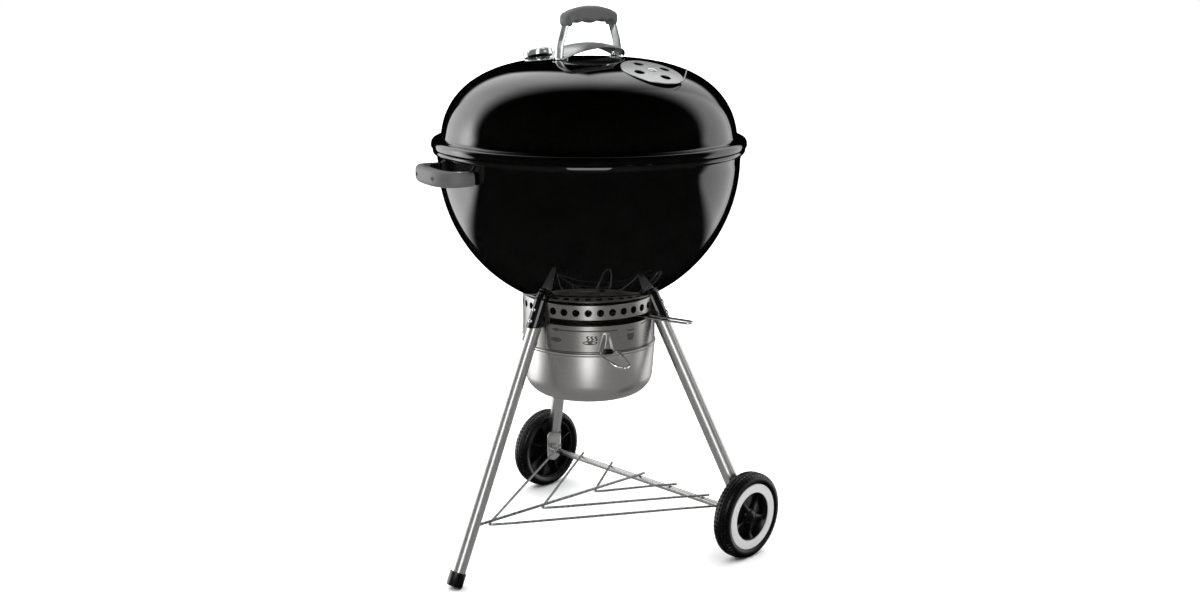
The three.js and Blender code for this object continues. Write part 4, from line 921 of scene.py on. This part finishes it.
def make_wheel(name, side):
    """Tyre: a profile turned about the axle, its radius dropping in grooves; hub, spokes, ribs, ring, cap."""
    body = f"wheel_{name}"
    spot = (Matrix.Translation((side * WHEEL_INNER, AXLE_Y, AXLE_Z))
            @ Matrix.Rotation(side * math.pi / 2, 4, "Y"))
    w = WHEEL_WIDTH / MM
    key = np.array([[64, 3.0], [66, 1.6], [69, 0.6], [72, 0.2], [75, 0.5], [77.5, 1.4], [79.5, 3], [81, 5],
                    [82, 7.5],
                    [82.6, 10.5], [82.8, 13], [82.8, w - 13], [82.6, w - 10.5], [82, w - 7.5], [81, w - 5],
                    [79.5, w - 3], [77.5, w - 1.4], [75, w - 0.5], [72, w - 0.1], [69, w - 0.2],
                    [66.5, w - 0.9], [64, w - 1.8]])
    t = np.linspace(0, len(key) - 1, 92)
    line = np.stack([np.interp(t, np.arange(len(key)), key[:, i]) for i in (0, 1)], axis=-1)
    count = 540
    angle = np.arange(count) * FULL_TURN / count
    across = line[:, 1:] / w
    phase = (angle * TREAD_BLOCKS / FULL_TURN)[None] + 0.5 * (across > 0.5)
    groove = (np.abs((phase % 1) - 0.5) > 0.34).astype(float)
    on_tread = np.clip((line[:, :1] - 75.5) / 1.5, 0, 1)
    lanes = np.abs((across - 0.5) * 2)
    ribs = (np.abs(lanes - 0.22) < 0.06) | (np.abs(lanes - 0.55) < 0.06)
    depth = on_tread * np.maximum(groove * GROOVE_DEPTH * (lanes > 0.25), ribs * RIB_DEPTH)
    radius = (line[:, :1] - depth) * MM
    radius = np.where(on_tread + 0 * radius > 0, radius, line[:, :1] * MM + 0 * radius)
    inward = np.sign(across - 0.5) * groove * 0.5 * on_tread * (lanes > 0.8)
    height = (line[:, 1:] - inward) * MM + 0 * angle
    points = np.stack([radius * np.sin(angle), -radius * np.cos(angle), height], axis=-1)
    show(f"{body}_tread", Parts().grid(moved(points, spot), wrap_rows=True, wrap_columns=True),
         black_plastic, body, [f"wheel_tyre_{name}"], 30)
    hub = Parts()
    profile = np.array([[6.3, -2], [12.4, -2], [13, -1.4], [14.6, w - 16], [42.6, w - 18], [60.4, w - 20],
                        [60.7, 4],
                        [61, 3.5], [63.4, 3.5], [63.6, 4], [63.6, w - 3.7], [63.2, w - 3.4], [46, w - 3.4],
                        [45.2, w - 4.4], [42.8, w - 14.6], [15, w - 11], [13.4, w - 6.6], [12.6, w - 6],
                        [6.3, w - 6]])
    turned(hub, profile * MM, 96, spot)
    for i in range(8):
        turn = spot @ Matrix.Rotation(math.radians(22.5 + i * 45), 4, "Z")
        bar(hub, [12 * MM, -1.2 * MM, 4 * MM], [61.5 * MM, 1.2 * MM, (w - 15) * MM], turn)
    for i in range(5):
        turn = spot @ Matrix.Rotation(math.radians(i * 72), 4, "Z")
        arm = Parts()
        path = np.array([[12, 0, w - 8], [24, 0, w - 9.6], [36, 0, w - 10.6], [44.5, 0, w - 8]]) * MM
        size = [(5.2, 3.2), (3.8, 3), (3.6, 3), (6.2, 3.4)]
        section = np.stack([squircle(a * MM, b * MM, 4, 20) for a, b in size])
        swept(arm, path, section, (0, 0, 1))
        hub.grid(moved(arm.points[0], turn).reshape(len(path) + 2, 20, 3), wrap_columns=True)
    show(f"{body}_centre", hub, black_plastic, body, [f"wheel_hub_{name}"], 35)
    trim = np.array([[46.8, w - 3.2], [63.3, w - 3.2], [63.3, w - 1.7], [62.8, w - 1.2], [55, w - 0.7],
                     [48, w - 1.1], [47.2, w - 1.5], [46.8, w - 2.2]]) * MM
    show(f"{body}_ring", turned(Parts(), trim, 128, spot), pale_plastic, body, [f"wheel_trim_{name}"])
    cap = np.array([[0, -0.6], [3, -0.7], [4.2, -1.6], [4.4, -3.2], [8, -3.6], [10.4, -4.4], [10.9, -5],
                    [10.9, -5.8], [0, -5.8]])
    show(f"{body}_cap", turned(Parts(), (cap + [0, w]) * MM, 48, spot, closed=False), black_plastic, body,
         [f"wheel_cap_{name}"])


# ---------- bowl side handles ----------

def make_side_handles():
    """A grip and its strap: flattened sections carried along a D-shaped path about the bowl."""
    low, high = edges("bowl_grip_1")
    middle = (low[2] + high[2]) / 2
    u = np.linspace(0, np.pi, 90)
    c, s = np.cos(u), np.sin(u)

    def line(shrink, lift=0.0):
        """The D-shaped route round the hand, drawn in by shrink and raised by lift, in millimetres."""
        return np.stack([np.sign(c) * (84 - shrink) * np.abs(c) ** 0.75,
                         -(BOWL_RADIUS / MM - 14) - (69 - shrink) * s ** 0.6, 0 * u + lift], axis=-1) * MM

    for i, turn in ((1, -15), (2, 173)):
        place = turned_about_bowl(turn) @ Matrix.Translation((0, AXIS_Y, middle))
        grip = Parts()
        path = line(10.5)
        path = path[(np.hypot(path[:, 0], path[:, 1]) > BOWL_RADIUS - 1 * MM)]
        share = np.abs(np.linspace(-1, 1, len(path)))
        tall = (15 - 3.2 * share ** 2) * MM
        deep = (10.2 - 1.2 * share ** 2) * MM
        a = np.arange(40) * FULL_TURN / 40
        ca, sa = np.cos(a), np.sin(a)
        fit = (np.abs(ca) ** 3.2 + np.abs(sa) ** 3.2) ** (-1 / 3.2)
        section = np.stack([deep[:, None] * ca * fit, tall[:, None] * sa * fit], axis=-1)
        swept(grip, path, section, (0, 0, 1))
        grip.points[0] = moved(grip.points[0], place)
        show(f"bowl_grip_{i}_body", grip, nylon, "stand", [f"bowl_grip_{i}"], 60)
        strap = Parts()
        path = line(22.4, 0.001)
        path = path[(np.hypot(path[:, 0], path[:, 1]) > BOWL_RADIUS + 0.3 * MM)]
        section = squircle(1.1 * MM, 12.5 * MM, 6, 24)
        swept(strap, path, section, (0, 0, 1))
        strap.points[0] = moved(strap.points[0], place)
        show(f"bowl_grip_{i}_strap", strap, plated_tube, "stand", [f"bowl_grip_strap_{i}"],
             60)
        details = Parts()
        for x in (-34, 34):
            outer = line(0)
            j = int(np.argmin(np.abs(outer[:, 0] - x * MM)))
            normal = math.degrees(math.atan2(outer[j + 1, 1] - outer[j - 1, 1],
                                             outer[j + 1, 0] - outer[j - 1, 0]))
            spot = place @ Matrix.Translation((outer[j, 0], outer[j, 1], 0)) @ \
                Matrix.Rotation(math.radians(normal + 180), 4, "Z") @ Matrix.Rotation(math.pi / 2, 4, "X")
            turned(details, np.array([[0, -0.4], [2.0, -0.4], [2.4, 0.3], [3.2, 0.4], [3.4, -1.5],
                                      [0, -1.5]]) * MM, 20,
                   spot, closed=False)
        show(f"bowl_grip_{i}_screws", details, black_plastic, "stand")


make_bowl()
make_lid()
make_damper()
make_gauge()
make_lid_handle()
make_ash_ring()
make_ring_marks()
make_ash_pan()
make_wires()
make_grates()
make_legs()
make_sockets()
make_foot()
make_axle()
make_wheel("right", 1)
make_wheel("left", -1)
make_side_handles()

for node, finish in (("sweep_shaft", stainless), ("sweep_blades", stainless), ("sweep_nut", stainless),
                     ("gauge_needle", ink)):
    carried = frame["nodes"][node]
    carried.data.materials.clear()
    carried.data.materials.append(finish)


# ---------- floor, lights and camera ----------

CAMERA_TURN, CAMERA_LIFT, CAMERA_REACH = 45.09, 12.89, 2.78017
AIM = Vector((0, AXIS_Y, 0.501))


def stage_piece(name, points, finish, **wraps):
    """A stage surface from a grid of points."""
    mesh = Parts().grid(points, **wraps).mesh(name)
    piece = bpy.data.objects.new(name, mesh)
    bpy.context.scene.collection.objects.link(piece)
    mesh.materials.append(finish)
    return piece


def plain_material(name, kind, **inputs):
    """A single shader, for the stage only."""
    made = bpy.data.materials.new(name)
    made.use_nodes = True
    made.node_tree.nodes.clear()
    shader = add(made.node_tree, kind, **inputs)
    add(made.node_tree, "ShaderNodeOutputMaterial", i0=(shader, 0))
    return made


def make_floor():
    """A flat pale disc, wide enough to fill the view."""
    a = np.radians(np.linspace(0, 360, 97)[:-1])
    r = np.array([0, 1, 4, 30.0])[:, None]
    points = np.stack([r * np.cos(a), r * np.sin(a), 0 * r * a - 0.0002], axis=-1)
    floor = stage_piece("floor", points, plain_material("pale_floor", "ShaderNodeBsdfDiffuse",
                                                        Color=linear("#f2f2f2")), wrap_columns=True)
    floor.visible_glossy = False
    return floor


def smooth(value):
    """Eases a value clipped to 0..1."""
    value = np.clip(value, 0, 1)
    return value * value * (3 - 2 * value)


def side_and_back_glow(az, el):
    """Two side walls and a high back band: their edge leans over the top, and a dark opening stays behind."""
    up = np.sin(np.radians(el))
    lean = np.cos(np.radians(el)) * np.cos(np.radians(az)) + 0.47 * up
    width = 0.16 + 0.35 * np.maximum(up, 0)
    edge = smooth(0.5 - (lean + 0.05 * (1 - up)) / width)
    level = np.interp(az, [-180, -165, -150, -140, -123, -105, -95, -85, 85, 97, 110, 124, 134, 140, 150,
                           165, 180],
                      [2.1, 2.3, 2.1, 2.1, 2.8, 3.5, 3.1, 2.6, 1.6, 1.9, 1.8, 1.7, 1.9, 1.3, 1.5, 2.2, 2.1])
    out = np.abs(az)
    hot = 2.6 * np.exp(-((az + 105) / 9) ** 2 - ((el - 4) / 16) ** 2)
    low = -31 * np.sqrt(np.clip(1 - ((130 - np.minimum(out, 130)) / 46) ** 2, 0, 1))
    back_low = np.interp(out, [140, 150, 165, 180], [15, 21, 28, 46])
    opening = np.where(out > 141, smooth((el - back_low + 3) / 7), 1)
    return (level + hot) * edge * smooth((el - low + 2) / 9) * opening


def all_round_glow(az, el):
    """A dim sphere with a bright upright strip over the camera, side strips and a lit top, for bare metal."""
    strip = 4.2 * np.exp(-((az + 1) / 9) ** 2) + 1.2 * np.exp(-((az - 62) / 9) ** 2) * smooth((el + 10) / 30)
    wing = 2.2 * np.exp(-((az + 84) / 9) ** 2) * smooth((el + 2) / 14)
    below, above = 0.12 * smooth(-el / 30), 0.5 * smooth((el - 30) / 40)
    return 0.3 + strip * smooth((el + 35) / 30) + wing + below + above


def make_tent(name, reach, glow_of, lowest, only=None):
    """Part of a sphere about the grill; its glow follows azimuth from the camera, and elevation."""
    az, el = np.meshgrid(np.linspace(-180, 180, 361), np.linspace(lowest, 89, 100), indexing="xy")
    glow = glow_of(az, el)
    turn = np.radians(az + CAMERA_TURN)
    flat = reach * np.cos(np.radians(el))
    points = np.stack([flat * np.sin(turn), -flat * np.cos(turn), reach * np.sin(np.radians(el)) + 0.75],
                      axis=-1)
    lit = (glow[:-1, :-1] + glow[1:, :-1] + glow[:-1, 1:] + glow[1:, 1:]) > 0.02
    mesh = bpy.data.meshes.new(name)
    mesh.from_pydata(points.reshape(-1, 3).tolist(), [], grid_faces(*az.shape)[lit.reshape(-1)].tolist())
    layer = mesh.attributes.new("glow", "FLOAT", "POINT")
    layer.data.foreach_set("value", glow.reshape(-1).astype(np.float32))
    made = bpy.data.materials.new(f"{name}_cloth")
    made.use_nodes = True
    tree = made.node_tree
    tree.nodes.clear()
    value = add(tree, "ShaderNodeAttribute", {"attribute_name": "glow"})
    light = add(tree, "ShaderNodeEmission", Strength=(value, "Fac"))
    add(tree, "ShaderNodeOutputMaterial", Surface=(light, "Emission"))
    mesh.materials.append(made)
    tent = bpy.data.objects.new(name, mesh)
    bpy.context.scene.collection.objects.link(tent)
    tent.visible_camera = False
    tent.visible_shadow = False
    if only:
        tent.light_linking.receiver_collection = only
    return tent


def toward_camera(turn, lift, reach):
    """A point at an angle about the camera's side, a lift and a distance from the aim."""
    a, e = math.radians(CAMERA_TURN + turn), math.radians(lift)
    return AIM + Vector((math.sin(a) * math.cos(e), -math.cos(a) * math.cos(e), math.sin(e))) * reach


def area(name, spot, size, power, aim=None, only=None):
    """A square soft light that looks at the grill, limited to some pieces if a collection is given."""
    data = bpy.data.lights.new(name, "AREA")
    data.shape = "RECTANGLE"
    data.size, data.size_y = size
    data.energy = power
    lamp = bpy.data.objects.new(name, data)
    bpy.context.scene.collection.objects.link(lamp)
    lamp.location = spot
    lamp.rotation_euler = ((aim or AIM) - Vector(spot)).to_track_quat("-Z", "Y").to_euler()
    lamp.visible_camera = False
    if only:
        lamp.light_linking.receiver_collection = only
    return lamp


floor = make_floor()


def gather(name, chosen):
    """A collection of the pieces that pass a test, used to aim light."""
    made = bpy.data.collections.new(name)
    bpy.context.scene.collection.children.link(made)
    for piece in list(bpy.context.scene.collection.objects):
        if piece.type == "MESH" and piece != floor and chosen(piece):
            made.objects.link(piece)
    return made


def is_black(piece):
    """Says whether a piece is enamelled or moulded in black."""
    return piece.data.materials[0] in (enamel, black_plastic)


plain = gather("bare_metal_and_nylon", lambda piece: piece.data.materials and not is_black(piece))
bead_only = gather("rim_bead_and_sockets",
                   lambda piece: piece.name == "bowl_rim_bead" or "socket" in piece.name)
blacks = gather("black_plastic_pieces", lambda piece: piece.data.materials and
                piece.data.materials[0] == black_plastic)
ground = bpy.data.collections.new("ground")
bpy.context.scene.collection.children.link(ground)
ground.objects.link(floor)
make_tent("side_and_back_tent", 6.0, side_and_back_glow, -34)
make_tent("metal_tent", 8.0, all_round_glow, -89, plain)
for width in (0.3, 0.7, 1.1, 1.5):
    area(f"rim_strip_{width}", toward_camera(0, 20, 3.0), (width, 3.6), 45 * width, only=bead_only)
area("front_softbox", toward_camera(-20, 30, 3.2), (1.6, 1.6), 30, only=blacks)

sky = bpy.data.lights.new("floor_wash", "SUN")
sky.energy, sky.angle = 8.5, math.radians(110)
wash = bpy.data.objects.new("floor_wash", sky)
bpy.context.scene.collection.objects.link(wash)
wash.light_linking.receiver_collection = ground

world = bpy.data.worlds.new("studio")
bpy.context.scene.world = world
world.use_nodes = True
tree = world.node_tree
tree.nodes.clear()
ray = add(tree, "ShaderNodeLightPath")
dim = add(tree, "ShaderNodeBackground", Color=[0.5, 0.5, 0.5, 1], Strength=0.04)
white = add(tree, "ShaderNodeBackground", Color=[1, 1, 1, 1], Strength=1.0)
both = add(tree, "ShaderNodeMixShader", i0=(ray, "Is Camera Ray"), i1=(dim, 0), i2=(white, 0))
add(tree, "ShaderNodeOutputWorld", Surface=(both, 0))
bpy.context.scene.view_settings.view_transform = "Standard"

lens = bpy.data.cameras.new("camera")
lens.sensor_width = 36
lens.lens = 43.9518
lens.shift_x, lens.shift_y = 0.0092, -0.0092
lens.clip_end = 100
camera = bpy.data.objects.new("camera", lens)
bpy.context.scene.collection.objects.link(camera)
camera.location = toward_camera(0, CAMERA_LIFT, CAMERA_REACH)
camera.rotation_euler = (AIM - camera.location).to_track_quat("-Z", "Y").to_euler()
bpy.context.scene.camera = camera
